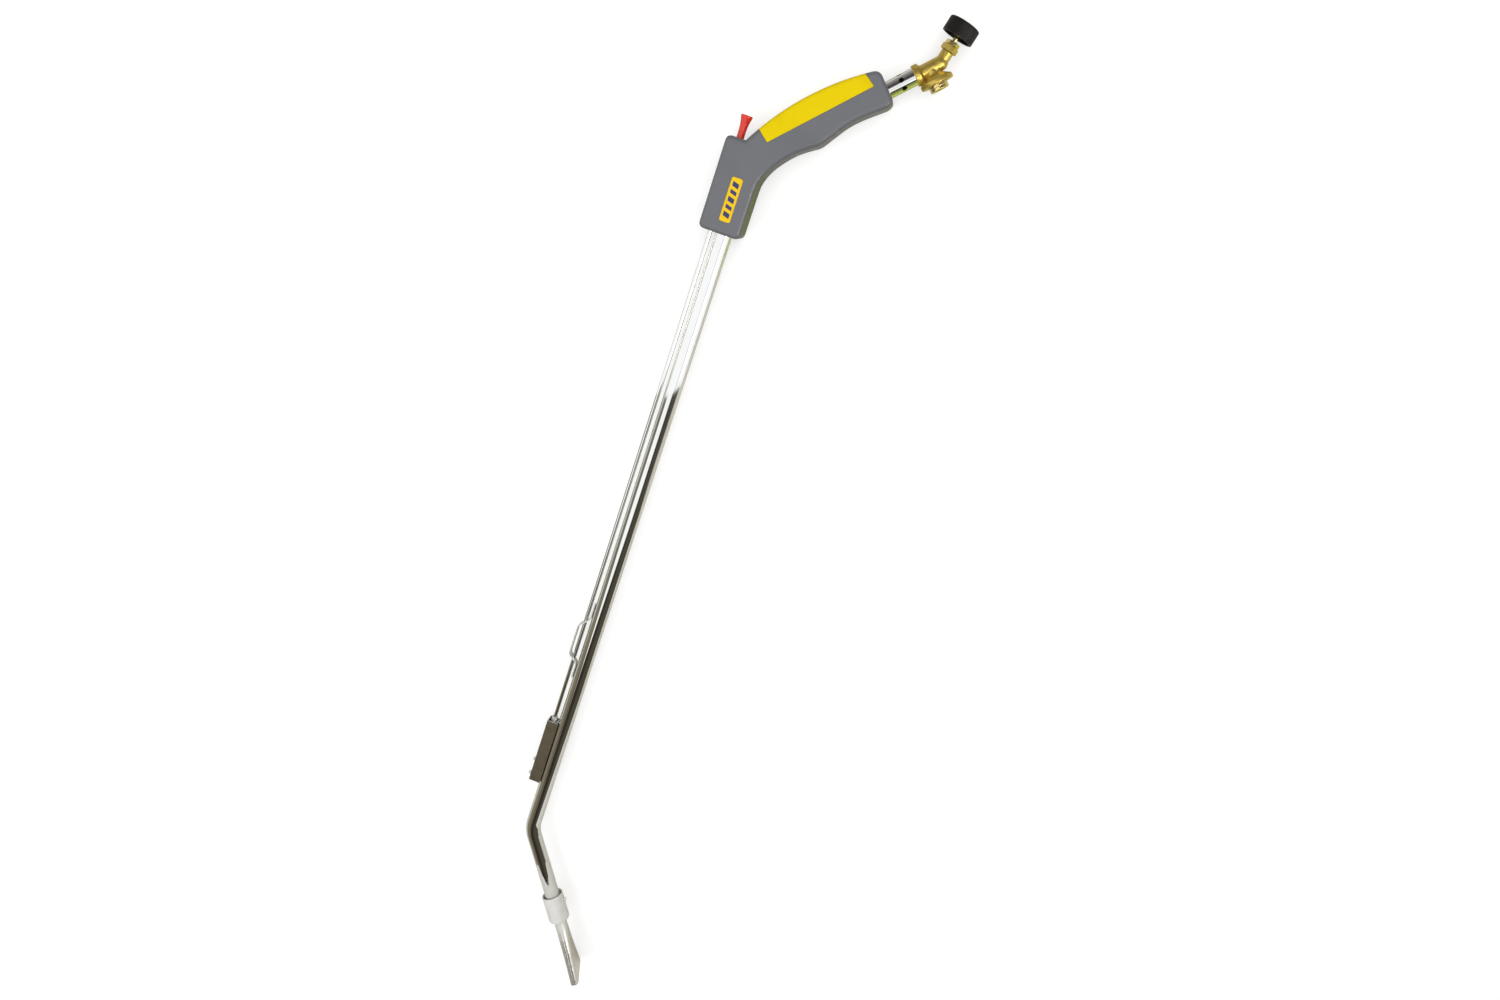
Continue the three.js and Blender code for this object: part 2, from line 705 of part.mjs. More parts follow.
// The casting: collar on the tube, barrel, elbow, spindle arm and cartridge flange.
function valveBody() {
  const collar = rod(COLLAR_R, COLLAR_S, BARREL_S + 0.5);
  const shoulder = turned([
    [0, BARREL_S],
    [COLLAR_R, BARREL_S + 0.5],
    [BARREL_R, BARREL_S + 2.5],
    [0, BARREL_S + 3],
  ]);
  const barrel = rod(BARREL_R, BARREL_S, ELBOW_S);
  const elbow = new THREE.SphereGeometry(BARREL_R, 20, 10).translate(ELBOW_S, 0, 0);
  const arm = along(rod(5.5, 0, 11), spindleFrame);
  const flange = along(
    turned([
      [0, 0],
      [6.2, 0],
      [6.6, 6],
      [FLANGE_R, 11],
      [FLANGE_R, 14.8],
      [0, 14.8],
    ]),
    cartridgeFrame,
  );
  const bores = [
    rod(TUBE_R + GAP, COLLAR_S - 1, BARREL_S),
    rod(3.4, BARREL_S - 1, BARREL_S + 5, 12),
    rod(1.6, BARREL_S, ELBOW_S + 1, 12),
    along(rod(4.2, 5, 12), spindleFrame),
    along(rod(SPINDLE_R + GAP, 0.8, 6, 12), spindleFrame),
    along(rod(1.2, 0, 12, 12), cartridgeFrame),
    along(rod(7.3, 9, 16), cartridgeFrame),
  ];
  const casting = joined(...[collar, shoulder, barrel, elbow, arm, flange].map(toSolid));
  return toGeometry(without(casting, ...bores.map(toSolid)));
}

// The brass jet that feeds the tube just below its air holes.
function gasJet() {
  return turned([
    [0.4, 160],
    [1.6, 160],
    [3, 163],
    [4.6, 165],
    [4.6, 169.5],
    [3.1, 169.5],
    [3.1, 176.5],
    [0.8, 176.5],
    [0.8, 164],
    [0.4, 160],
  ], 12);
}

// The threaded bush that the cartridge screws into.
function cartridgeSocket() {
  return turned([
    [SOCKET_BORE_R, 10],
    [7, 10],
    [7, 15.1],
    [SOCKET_R, 15.1],
    [SOCKET_R, SOCKET_END - 0.5],
    [SOCKET_R - 0.5, SOCKET_END],
    [SOCKET_BORE_R + 1, SOCKET_END],
    [SOCKET_BORE_R, SOCKET_END - 1],
    [SOCKET_BORE_R, 10],
  ]);
}

// The hollow pin that opens the cartridge's own valve.
function openingPin() {
  return turned([
    [0.4, 9.3],
    [1.7, 9.3],
    [1.7, 10.3],
    [0.9, 10.3],
    [0.9, 13.5],
    [0.4, 13.5],
    [0.4, 9.3],
  ], 12);
}

const hexNut = (flats, bore, from, to) => {
  const corner = flats / Math.sqrt(3);
  const blank = toSolid(rod(corner, from, to, 6));
  return toGeometry(blank.subtract(toSolid(rod(bore, from - 1, to + 1))));
};

function valveSpindle() {
  return turned([
    [0, 1.2],
    [0.6, 1.2],
    [2, 4],
    [SPINDLE_R, 4.5],
    [SPINDLE_R, 27],
    [2, 27],
    [2, 32],
    [0, 32],
  ], 16);
}

function spindleSeal() {
  const profile = [];
  const sides = 6;
  for (let i = 0; i <= sides; i += 1) {
    const angle = (2 * Math.PI * (i % sides)) / sides;
    profile.push([3.3 + 0.5 * Math.cos(angle), 8.5 + 0.5 * Math.sin(angle)]);
  }
  return turned(profile, 16);
}

// The fluted rim as a wavy outline.
function knobOutline() {
  const points = [];
  const pointsPerFlute = 3;
  const count = KNOB_FLUTES * pointsPerFlute;
  for (let i = 0; i < count; i += 1) {
    const angle = (2 * Math.PI * i) / count;
    const radius = KNOB_R - 0.3 + 0.3 * Math.cos(KNOB_FLUTES * angle);
    points.push(new THREE.Vector2(radius * Math.cos(angle), radius * Math.sin(angle)));
  }
  return new THREE.Shape(points);
}

// The hand knob: a fluted cap with a hollow skirt and a hub on the spindle.
function controlKnob() {
  const edge = 1.4;
  const rim = new THREE.ExtrudeGeometry(knobOutline(), {
    depth: KNOB_TOP - KNOB_FOOT - 2 * edge,
    bevelEnabled: true,
    bevelThickness: edge,
    bevelSize: edge,
    bevelOffset: -edge,
    bevelSegments: 1,
  });
  rim.rotateY(Math.PI / 2).translate(KNOB_FOOT + edge, 0, 0);
  const skirt = ring(4.6, 12.3, KNOB_FOOT - 1, KNOB_FOOT + 8.5);
  const hubEnd = ring(0, 5, KNOB_FOOT - 1, KNOB_FOOT + 1.5);
  const bore = rod(SPINDLE_R + GAP, KNOB_FOOT - 1, 27.4);
  const seat = rod(2 + GAP, 27, 32.4);
  return toGeometry(without(...[rim, skirt, hubEnd, bore, seat].map(toSolid)));
}

function valve() {
  piece("valve_body", valveBody(), CAST_BRASS, gripFrame);
  piece("gas_jet", gasJet(), TURNED_BRASS, gripFrame);
  piece("cartridge_socket", cartridgeSocket(), TURNED_BRASS, cartridgeFrame);
  piece("cartridge_seal", ring(3, SOCKET_BORE_R - GAP, 10.6, 12.2), RUBBER, cartridgeFrame);
  piece("opening_pin", openingPin(), TURNED_BRASS, cartridgeFrame);
  piece("bonnet_nut", hexNut(13.4, SPINDLE_R + GAP, 11.3, 16.3), CAST_BRASS, spindleFrame);
  piece("packing_nut", hexNut(11.4, SPINDLE_R + GAP, 16.6, 20.2), TURNED_BRASS, spindleFrame);
  piece("spindle_seal", spindleSeal(), RUBBER, spindleFrame);
  piece("valve_spindle", valveSpindle(), TURNED_BRASS, spindleFrame);
  piece("control_knob", controlKnob(), BLACK_PLASTIC, spindleFrame);
}

// ---------------------------------------------------------------- burner head

function burnerCup() {
  const wall = 1;
  const inner = CUP_R - wall;
  const profile = [
    [inner, CUP_TOP],
    [CUP_R, CUP_TOP],
    [CUP_R, CUP_FOOT - 2.5],
    [CUP_R - 0.8, CUP_FOOT - 0.8],
    [CUP_R - 2.5, CUP_FOOT],
    [NOZZLE_NECK_R + GAP, CUP_FOOT],
    [NOZZLE_NECK_R + GAP, CUP_FOOT - wall],
    [inner, CUP_FOOT - wall - 1.5],
    [inner, CUP_TOP],
  ];
  const hole = crossDrill(1.5, CUP_SCREW_S, CUP_R - 3, CUP_R + 1);
  return toGeometry(toSolid(turned(profile)).subtract(hole));
}

// The screw through the cup's side that clamps it on the tube.
function cupScrew() {
  const head = CUP_R + GAP;
  const tip = TUBE_R + GAP;
  const profile = [
    [0, tip],
    [1.2, tip],
    [1.2, head],
    [2, head],
    [2, head + 1.4],
    [1.4, head + 2],
    [0, head + 2.2],
  ];
  return turned(profile, 12).rotateZ(Math.PI / 2).translate(CUP_SCREW_S, 0, 0);
}

// The ring that centres the cup on the tube's end, with air slots through it.
function airRing() {
  let body = toSolid(ring(TUBE_R + GAP, CUP_R - 1 - GAP, 97, 103));
  const slots = 6;
  for (let i = 0; i < slots; i += 1) {
    const slot = box(96, 101, CUP_R - 2.2, CUP_R, -1.6, 1.6);
    slot.rotateX((2 * Math.PI * (i + 0.5)) / slots);
    body = body.subtract(toSolid(slot));
  }
  return toGeometry(body);
}

// One flat-oval ring of the nozzle; width runs along Z before the roll.
function nozzleSection(s, halfWidth, halfThickness, sides) {
  const points = [];
  const offset = halfWidth - halfThickness;
  for (let i = 0; i < sides; i += 1) {
    const angle = (2 * Math.PI * (i + 0.5)) / sides;
    const z = halfThickness * Math.cos(angle) + Math.sign(Math.cos(angle)) * offset;
    points.push(new THREE.Vector3(s, halfThickness * Math.sin(angle), z));
  }
  return points;
}

// A closed skin through rings of equal count that come back to the first ring.
function closedLoft(rings) {
  const count = rings[0].length;
  const index = [];
  rings.forEach((_, r) => {
    const next = (r + 1) % rings.length;
    for (let i = 0; i < count; i += 1) {
      const j = (i + 1) % count;
      const [a, b] = [r * count + i, r * count + j];
      const [c, d] = [next * count + i, next * count + j];
      index.push(a, c, b, b, c, d);
    }
  });
  const geometry = new THREE.BufferGeometry().setFromPoints(rings.flat());
  geometry.setIndex(index);
  geometry.computeVertexNormals();
  return geometry;
}

// The flame nozzle: a round neck pressed into a wide flat mouth.
function flameNozzle() {
  const sides = 24;
  const neck = CUP_FOOT - 7;
  const stations = [neck, CUP_FOOT + 3, CUP_FOOT + 16, 155, NOZZLE_END];
  const start = stations[1];
  const size = (s) => Math.max((s - start) / (NOZZLE_END - start), 0);
  const section = (s, wall) => {
    const halfWidth = THREE.MathUtils.lerp(NOZZLE_NECK_R, NOZZLE_HALF_WIDTH, size(s));
    const ease = Math.sin((Math.PI / 2) * size(s));
    const halfThickness = THREE.MathUtils.lerp(NOZZLE_NECK_R, NOZZLE_HALF_THICKNESS, ease);
    return nozzleSection(s, halfWidth - wall, halfThickness - wall, sides);
  };
  const outer = stations.map((s) => section(s, 0));
  const inner = stations.map((s) => section(s, NOZZLE_WALL)).reverse();
  return closedLoft([...outer, ...inner]).rotateX(NOZZLE_ROLL);
}

function burnerHead() {
  piece("burner_cup", burnerCup(), BRIGHT_STEEL, headFrame);
  piece("air_ring", airRing(), BRIGHT_STEEL, headFrame);
  piece("cup_screw", cupScrew(), ZINC, headFrame);
  piece("flame_nozzle", flameNozzle(), BRIGHT_STEEL, headFrame);
}

// ---------------------------------------------------------------- assembly

handle();
igniter();
piece("main_tube", mainTube(), CHROME, lance);
valve();
burnerHead();

// The origin is the centre of the footprint, on the surface that the torch lies on.
const model = new THREE.Group();
model.add(lance);
const bounds = new THREE.Box3().setFromObject(lance, true);
const middle = bounds.getCenter(new THREE.Vector3());
lance.position.set(-middle.x, -middle.y, -bounds.min.z);

export default model;
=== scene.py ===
# Studio scene of the propane torch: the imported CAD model, with each piece rebuilt finely.
# Pieces are drawn in millimetres in the part's own frames, then placed in the model's frame
# in metres.

import json
import math

import bmesh
import bpy
from mathutils import Matrix, Vector


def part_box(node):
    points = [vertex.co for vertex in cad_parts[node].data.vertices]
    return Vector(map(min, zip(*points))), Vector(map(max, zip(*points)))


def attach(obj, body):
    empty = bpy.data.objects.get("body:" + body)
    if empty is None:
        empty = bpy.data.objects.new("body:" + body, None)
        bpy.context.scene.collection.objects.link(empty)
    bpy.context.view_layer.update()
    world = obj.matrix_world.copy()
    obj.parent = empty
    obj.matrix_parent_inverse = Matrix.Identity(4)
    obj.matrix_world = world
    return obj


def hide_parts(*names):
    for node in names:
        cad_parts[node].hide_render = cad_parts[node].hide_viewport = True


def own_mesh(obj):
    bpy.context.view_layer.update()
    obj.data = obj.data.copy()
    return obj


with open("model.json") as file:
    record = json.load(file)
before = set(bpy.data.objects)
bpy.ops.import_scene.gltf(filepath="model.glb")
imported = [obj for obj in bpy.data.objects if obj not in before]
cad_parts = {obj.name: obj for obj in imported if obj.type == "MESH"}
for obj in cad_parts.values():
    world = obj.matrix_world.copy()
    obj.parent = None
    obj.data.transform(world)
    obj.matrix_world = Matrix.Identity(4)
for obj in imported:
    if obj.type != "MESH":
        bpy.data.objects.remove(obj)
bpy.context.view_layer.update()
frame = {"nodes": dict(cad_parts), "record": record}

# ---- dimensions, millimetres

MM = 0.001
GAP = 0.3
DEGREE = math.pi / 180

TUBE_R = 8
TUBE_WALL = 1.2
CHANNEL_R = 8.6
GRIP_BEND_X = 70.3
GRIP_ANGLE = 45 * DEGREE
GRIP_BEND_R = 40
GRIP_RUN = 171.7
HEAD_BEND_X = -674.5
HEAD_ANGLE = 32 * DEGREE
HEAD_BEND_R = 36
HEAD_RUN = 104
AIR_HOLE_R = 2.3
AIR_HOLE_S = 155.5
AIR_HOLE_ANGLES = (-75, -15, 45, 105)  # degrees from straight up, towards the fingers

HANDLE_HALF = 19
HANDLE_EDGE = 4
HANDLE_WALL = 5
HOUSING_FOOT_X = 4
HOUSING_TOP_X = 90
HOUSING_LEFT_Y = 23.3
HOUSING_RIGHT_Y = -17
HOUSING_CORNER = 6
GRIP_END_S = 142
GRIP_BACK_R = 250
GRIP_BACK_S = 75.6
GRIP_BACK_T = 26.4
INLAY_T = 2
SEAM_HALF = 0.15

ROD_Y = 13.4
ROD_R = 2
ROD_FOOT_X = -551.7
ROD_TOP_X = 83.7
BUTTON_R = 3.5
BUTTON_FOOT_X = 76
SPRING_SEAT_X = 58
BOX_TOP_X = -538.5
BOX_FOOT_X = -614
BOX_HALF_Z = 6.5
BOX_LOW_Y = 8.3
BOX_LIP_Y = 6.6
BOX_HIGH_Y = 19.3
SHEET_T = 1
LEAD_X = -604
LEAD_R = 1.2
LEAD_HOLE_R = LEAD_R + 0.8
RIVET_HOLE_R = 1.3
PIEZO_TOP_X = -566
PLUNGER_R = 3.2
RIVET_XS = {"box_rivet_upper": -591.5, "box_rivet_lower": -609}

COLLAR_S = 167.6
BARREL_S = 172
ELBOW_S = 192
BARREL_R = 6.5
COLLAR_R = 9.6
CARTRIDGE_S = 183
FLANGE_R = 14.8
SPINDLE_TURN = 31.5 * DEGREE
SPINDLE_R = 2.4
KNOB_R = 14.7
KNOB_FOOT = 24.5
KNOB_TOP = 38
KNOB_RIBS = 40

CUP_TOP = 84.5
CUP_FOOT = 117
CUP_R = 11.6
CUP_SCREW_S = 93
NOZZLE_END = 187
NOZZLE_HALF_WIDTH = 25
NOZZLE_HALF_THICKNESS = 4.6
NOZZLE_ROLL = -14 * DEGREE
NOZZLE_NECK_R = 7
NOZZLE_WALL = 0.8

FINE = 64  # sides of a fine turned piece
TRIM = 0.05  # keeps the outermost round pieces inside the faceted CAD ones

# ---- frames

record = frame["record"]
SLOT_OF = {row["node"]: row["material_slot"] for row in record["subparts"]}
BODY_OF = {node: body for body, nodes in record["behaviour"]["bodies"].items() for node in nodes}


def lance_frame():
    """The torch's own frame, found from where the push rod lies in the model."""
    low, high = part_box("push_rod")
    middle = (low + high) / 2
    origin = (high.x - ROD_TOP_X * MM, middle.y - ROD_Y * MM, middle.z)
    return Matrix.Translation(origin) @ Matrix.Scale(MM, 4)


def turned_frame(x, angle):
    return Matrix.Translation((x, 0, 0)) @ Matrix.Rotation(angle, 4, "Z")


# Frames within their parents, in millimetres, then in the model, in metres.
GRIP_LOCAL = turned_frame(GRIP_BEND_X, -GRIP_ANGLE)
HEAD_LOCAL = turned_frame(HEAD_BEND_X, math.pi + HEAD_ANGLE)
SPINDLE_LOCAL = turned_frame(ELBOW_S, SPINDLE_TURN)
CARTRIDGE_LOCAL = turned_frame(CARTRIDGE_S, -math.pi / 2)
LANCE = lance_frame()
GRIP = LANCE @ GRIP_LOCAL
HEAD = LANCE @ HEAD_LOCAL
SPINDLE = GRIP @ SPINDLE_LOCAL
CARTRIDGE = GRIP @ CARTRIDGE_LOCAL


def grip_point(s, t):
    point = GRIP_LOCAL @ Vector((s, t, 0))
    return (point.x, point.y)


# ---- mesh helpers


def solid(vertices, faces):
    """A new object from points and faces, with its faces turned outwards."""
    mesh = bpy.data.meshes.new("piece")
    mesh.from_pydata([tuple(v) for v in vertices], [], faces)
    work = bmesh.new()
    work.from_mesh(mesh)
    bmesh.ops.recalc_face_normals(work, faces=work.faces)
    work.to_mesh(mesh)
    work.free()
    thing = bpy.data.objects.new("piece", mesh)
    bpy.context.collection.objects.link(thing)
    return thing


def skin(rings, close_rings=False, cap=True):
    """A skin through rings of points; a ring of one point is a pole."""
    vertices = []
    loops = []
    for ring_points in rings:
        loops.append(range(len(vertices), len(vertices) + len(ring_points)))
        vertices.extend(ring_points)
    faces = []
    pairs = list(zip(loops, loops[1:]))
    if close_rings:
        pairs.append((loops[-1], loops[0]))
    for a, b in pairs:
        count = max(len(a), len(b))
        for i in range(count):
            j = (i + 1) % count
            quad = [a[i % len(a)], a[j % len(a)], b[j % len(b)], b[i % len(b)]]
            corners = list(dict.fromkeys(quad))
            if len(corners) > 2:
                faces.append(corners)
    if cap and not close_rings:
        for loop in (loops[0], loops[-1]):
            if len(loop) > 2:
                faces.append(list(loop))
    return solid(vertices, faces)


def circle(radius, sides):
    turns = [2 * math.pi * i / sides for i in range(sides)]
    return [(radius * math.cos(turn), radius * math.sin(turn)) for turn in turns]


def turned(profile, sides=FINE):
    """A turned piece about X from [radius, x] points; a closed profile ends where it began."""
    closed = list(profile[0]) == list(profile[-1])
    rings = []
    for radius, x in profile[:-1] if closed else profile:
        if radius < 1e-6:
            rings.append([(x, 0, 0)])
        else:
            rings.append([(x, y, z) for y, z in circle(radius, sides)])
    return skin(rings, close_rings=closed)


def eased(points, radius, steps=3):
    """The same line of 2D points with each corner rounded; a closed line stays closed."""
    line = [Vector(p) for p in points]
    closed = (line[0] - line[-1]).length < 1e-9
    if closed:
        line.pop()
    result = []
    count = len(line)
    for i, corner in enumerate(line):
        if not closed and i in (0, count - 1):
            result.append(tuple(corner))
            continue
        before, after = line[i - 1], line[(i + 1) % count]
        reach = min(radius, (corner - before).length * 0.45, (after - corner).length * 0.45)
        start = corner + (before - corner).normalized() * reach
        end = corner + (after - corner).normalized() * reach
        for k in range(steps + 1):
            t = k / steps
            point = start * (1 - t) ** 2 + corner * 2 * t * (1 - t) + end * t**2
            result.append(tuple(point))
    if closed:
        result.append(result[0])
    return result


def rod(radius, start, end, sides=FINE, edge=0.0):
    profile = [(0, start), (radius, start), (radius, end), (0, end)]
    return turned(eased(profile, edge) if edge else profile, sides)


def ring(inner, outer, start, end, edge=0.0, sides=FINE):
    profile = [(inner, start), (outer, start), (outer, end), (inner, end), (inner, start)]
    return turned(eased(profile, edge) if edge else profile, sides)


def prism(outline, z0, z1):
    return skin([[(x, y, z) for x, y in outline] for z in (z0, z1)])


def block(x0, x1, y0, y1, z0, z1):
    return prism([(x0, y0), (x1, y0), (x1, y1), (x0, y1)], z0, z1)


def drawn_out(outline, x0, x1):
    return skin([[(x, y, z) for y, z in outline] for x in (x0, x1)])


def rounded_rectangle(x0, x1, y0, y1, radius):
    corners = [(x0, y0), (x1, y0), (x1, y1), (x0, y1), (x0, y0)]
    return eased(corners, radius, 6)[:-1]


def upright(radius, x, y, z0, z1, sides=48):
    return prism([(x + dx, y + dy) for dx, dy in circle(radius, sides)], z0, z1)


def moved(thing, matrix):
    thing.data.transform(matrix)
    return thing


def across(thing, x, y=0.0):
    """A piece made along X, turned to point along +Y at a place."""
    return moved(thing, Matrix.Translation((x, y, 0)) @ Matrix.Rotation(math.pi / 2, 4, "Z"))


def settle(thing):
    """Applies a piece's modifiers."""
    graph = bpy.context.evaluated_depsgraph_get()
    mesh = bpy.data.meshes.new_from_object(thing.evaluated_get(graph))
    thing.modifiers.clear()
    thing.data = mesh
    return thing


def combine(operation, thing, tools):
    for tool in tools:
        modifier = thing.modifiers.new("combine", "BOOLEAN")
        modifier.operation = operation
        modifier.solver = "MANIFOLD"
        modifier.object = tool
    settle(thing)
    for tool in tools:
        bpy.data.objects.remove(tool)
    return thing


def without(thing, *tools):
    return combine("DIFFERENCE", thing, tools)


def joined(thing, *tools):
    return combine("UNION", thing, tools)


def common(thing, *tools):
    return combine("INTERSECT", thing, tools)


def copied(thing):
    twin = thing.copy()
    twin.data = thing.data.copy()
    bpy.context.collection.objects.link(twin)
    return twin


def softened(thing, width, segments=2):
    """Bevels the edges that turn by more than 40 degrees."""
    modifier = thing.modifiers.new("edges", "BEVEL")
    modifier.width = width
    modifier.segments = segments
    modifier.limit_method = "ANGLE"
    modifier.angle_limit = 40 * DEGREE
    return settle(thing)


def wire(path, radius, sides=24):
    """A round wire along points, with flat ends."""
    points = [Vector(p) for p in path]
    rings = []
    side = None
    for i, point in enumerate(points):
        ahead = points[min(i + 1, len(points) - 1)] - points[max(i - 1, 0)]
        ahead.normalize()
        if side is None:
            side = ahead.orthogonal().normalized()
        side = (side - ahead * side.dot(ahead)).normalized()
        other = ahead.cross(side)
        rings.append([point + side * u + other * v for u, v in circle(radius, sides)])
    return skin(rings)


def through(points, steps):
    """A smooth line through points, sampled evenly between each pair."""
    line = [Vector(p) for p in points]
    result = []
    for i in range(len(line) - 1):
        before = line[max(i - 1, 0)]
        after = line[min(i + 2, len(line) - 1)]
        v0 = (line[i + 1] - before) / 2
        v1 = (after - line[i]) / 2
        for k in range(steps):
            t = k / steps
            a = 2 * line[i] - 2 * line[i + 1] + v0 + v1
            b = -3 * line[i] + 3 * line[i + 1] - 2 * v0 - v1
            result.append(a * t**3 + b * t**2 + v0 * t + line[i])
    result.append(line[-1])
    return result


# ---- materials


class Pattern:
    """Small maths on a node tree, for patterns drawn with smooth steps."""

    def __init__(self, tree):
        self.nodes, self.links = tree.nodes, tree.links

    def feed(self, value, socket):
        if isinstance(value, bpy.types.NodeSocket):
            self.links.new(value, socket)
        elif isinstance(value, tuple):
            socket.default_value = (*value, 1)
        else:
            socket.default_value = value

    def maths(self, operation, a, b):
        node = self.nodes.new("ShaderNodeMath")
        node.operation = operation
        self.feed(a, node.inputs[0])
        self.feed(b, node.inputs[1])
        return node.outputs[0]

    def vector(self, operation, a, b):
        node = self.nodes.new("ShaderNodeVectorMath")
        node.operation = operation
        self.feed(a, node.inputs[0])
        node.inputs[1].default_value = b
        return node.outputs["Value" if operation == "DOT_PRODUCT" else "Vector"]

    def times(self, a, b):
        return self.maths("MULTIPLY", a, b)

    def plus(self, a, b):
        return self.maths("ADD", a, b)

    def spread(self, source, low, high, out_low=0.0, out_high=1.0, kind="LINEAR"):
        """Maps one range onto another, held at its ends; low may be above high."""
        node = self.nodes.new("ShaderNodeMapRange")
        node.interpolation_type = kind
        sockets = ("From Min", "From Max", "To Min", "To Max")
        for socket, value in zip(sockets, (low, high, out_low, out_high)):
            node.inputs[socket].default_value = value
        self.links.new(source, node.inputs["Value"])
        return node.outputs["Result"]

    def step(self, source, low, high, out_low=0.0, out_high=1.0):
        """A smooth rise from one value to the other."""
        return self.spread(source, low, high, out_low, out_high, "SMOOTHSTEP")

    def mix(self, factor, a, b):
        node = self.nodes.new("ShaderNodeMix")
        node.data_type = "RGBA"
        self.feed(factor, node.inputs["Factor"])
        self.feed(a, node.inputs[6])
        self.feed(b, node.inputs[7])
        return node.outputs[2]


class Finish(Pattern):
    """A Principled material whose colour, roughness and bump come from noise on the piece."""

    def __init__(self, name, color, metallic=0.0):
        self.material = bpy.data.materials.new(name)
        self.material.use_nodes = True
        super().__init__(self.material.node_tree)
        self.shader = self.nodes["Principled BSDF"]
        self.shader.inputs["Metallic"].default_value = metallic
        self.color = color
        self.place = self.nodes.new("ShaderNodeTexCoord").outputs["Object"]
        self.bump = None

    def noise(self, size, detail=3, stretch=(1, 1, 1)):
        """Noise whose features are about the given size, in millimetres."""
        place = self.nodes.new("ShaderNodeMapping")
        place.inputs["Scale"].default_value = stretch
        self.links.new(self.place, place.inputs["Vector"])
        node = self.nodes.new("ShaderNodeTexNoise")
        node.inputs["Scale"].default_value = 1 / (size * MM)
        node.inputs["Detail"].default_value = detail
        node.inputs["Roughness"].default_value = 0.55
        self.links.new(place.outputs[0], node.inputs["Vector"])
        return node.outputs["Fac"]

    def tint(self, source, low, high, color):
        """Mixes another colour in where the source is high."""
        self.color = self.mix(self.spread(source, low, high), self.color, color)

    def rough(self, source, low, high):
        """Roughness that wanders between two values."""
        result = self.spread(source, 0.3, 0.7, low, high)
        self.links.new(result, self.shader.inputs["Roughness"])

    def raised(self, source, height, strength=1.0):
        """Adds relief of a height in millimetres."""
        node = self.nodes.new("ShaderNodeBump")
        node.inputs["Strength"].default_value = strength
        node.inputs["Distance"].default_value = height * MM
        self.links.new(source, node.inputs["Height"])
        if self.bump:
            self.links.new(self.bump, node.inputs["Normal"])
        self.bump = node.outputs["Normal"]

    def done(self, **sockets):
        self.feed(self.color, self.shader.inputs["Base Color"])
        if self.bump:
            self.links.new(self.bump, self.shader.inputs["Normal"])
        for name, value in sockets.items():
            self.shader.inputs[name.replace("_", " ")].default_value = value
        return self.material


def chrome(name, wave):
    """Plated tube: mirror bright, with faint waves, drawing lines and a little haze."""
    look = Finish(name, (0.84, 0.85, 0.85), metallic=1)
    haze = look.noise(28, 4)
    look.tint(haze, 0.5, 0.75, (0.78, 0.78, 0.77))
    look.rough(look.noise(9, 5), 0.02, 0.06)
    look.raised(look.noise(22, 1, stretch=(0.35, 1, 1)), wave)
    look.raised(look.noise(0.6, 2, stretch=(0.02, 1, 1)), 0.0006)
    return look


HEAT_WANDER = 0.02  # how far the edge of the dulled part strays, metres
CROWN_FACING = (0.133, -0.222, 0.966)  # the way the polished crown faces
CROWN_EDGE = 0.86  # cosine to that way where the crown ends


def heat_dulled(look, pale, start, end, crown=0.0):
    """Fades the metal to a dull pale finish between two distances along the head run.

    With a crown, in metres, the faces that look up keep their polish that much longer.
    """
    along = tuple((HEAD.to_3x3() @ Vector((1, 0, 0))).normalized())
    away = look.vector("SUBTRACT", look.place, tuple(HEAD.translation))
    wander = look.times(look.noise(12), HEAT_WANDER)
    reached = look.plus(look.vector("DOT_PRODUCT", away, along), wander)
    if crown:
        facing = look.nodes.new("ShaderNodeNewGeometry").outputs["Normal"]
        upward = look.vector("DOT_PRODUCT", facing, CROWN_FACING)
        upward = look.maths("MAXIMUM", upward, CROWN_EDGE)
        kept = look.times(look.plus(upward, -CROWN_EDGE), crown)
        reached = look.maths("SUBTRACT", reached, kept)
    dulled = look.step(reached, start, end)
    look.color = look.mix(dulled, look.color, pale)
    rough = look.shader.inputs["Roughness"]
    look.feed(look.plus(rough.links[0].from_socket, look.times(dulled, 0.4)), rough)
    metallic = look.shader.inputs["Metallic"]
    look.feed(look.step(dulled, 0, 1, metallic.default_value, 0.3), metallic)
    return look.done()


def tube_chrome():
    """The lance's plating, dulled by heat where it enters the cup."""
    return heat_dulled(chrome("tube_chrome", 0.012), (0.70, 0.69, 0.65), 0.047, 0.058, 0.18)


def handle_plastic():
    """Matte grey plastic with a fine spark texture and faint flow shades."""
    look = Finish("handle_plastic", (0.130, 0.133, 0.146))
    look.tint(look.noise(35, 2), 0.45, 0.8, (0.116, 0.119, 0.130))
    look.tint(look.noise(0.7, 2), 0.6, 0.85, (0.150, 0.153, 0.164))
    look.rough(look.noise(4, 4), 0.30, 0.42)
    look.raised(look.noise(0.45), 0.04, 0.5)
    return look.done()


def inlay_rubber():
    """Soft over-moulded rubber, matte, a touch deeper in places."""
    look = Finish("inlay_rubber", (0.735, 0.555, 0.0))
    look.tint(look.noise(20), 0.5, 0.8, (0.67, 0.495, 0.0))
    look.rough(look.noise(3), 0.55, 0.7)
    look.raised(look.noise(0.5), 0.05, 0.5)
    return look.done(Specular_IOR_Level=0.15)


def label_yellow():
    look = Finish("label_yellow", (0.82, 0.53, 0.0))
    look.tint(look.noise(8), 0.5, 0.8, (0.78, 0.49, 0.0))
    look.rough(look.noise(2, 4), 0.28, 0.42)
    look.raised(look.noise(0.8, 2), 0.02, 0.5)
    return look.done(Specular_IOR_Level=0.3)


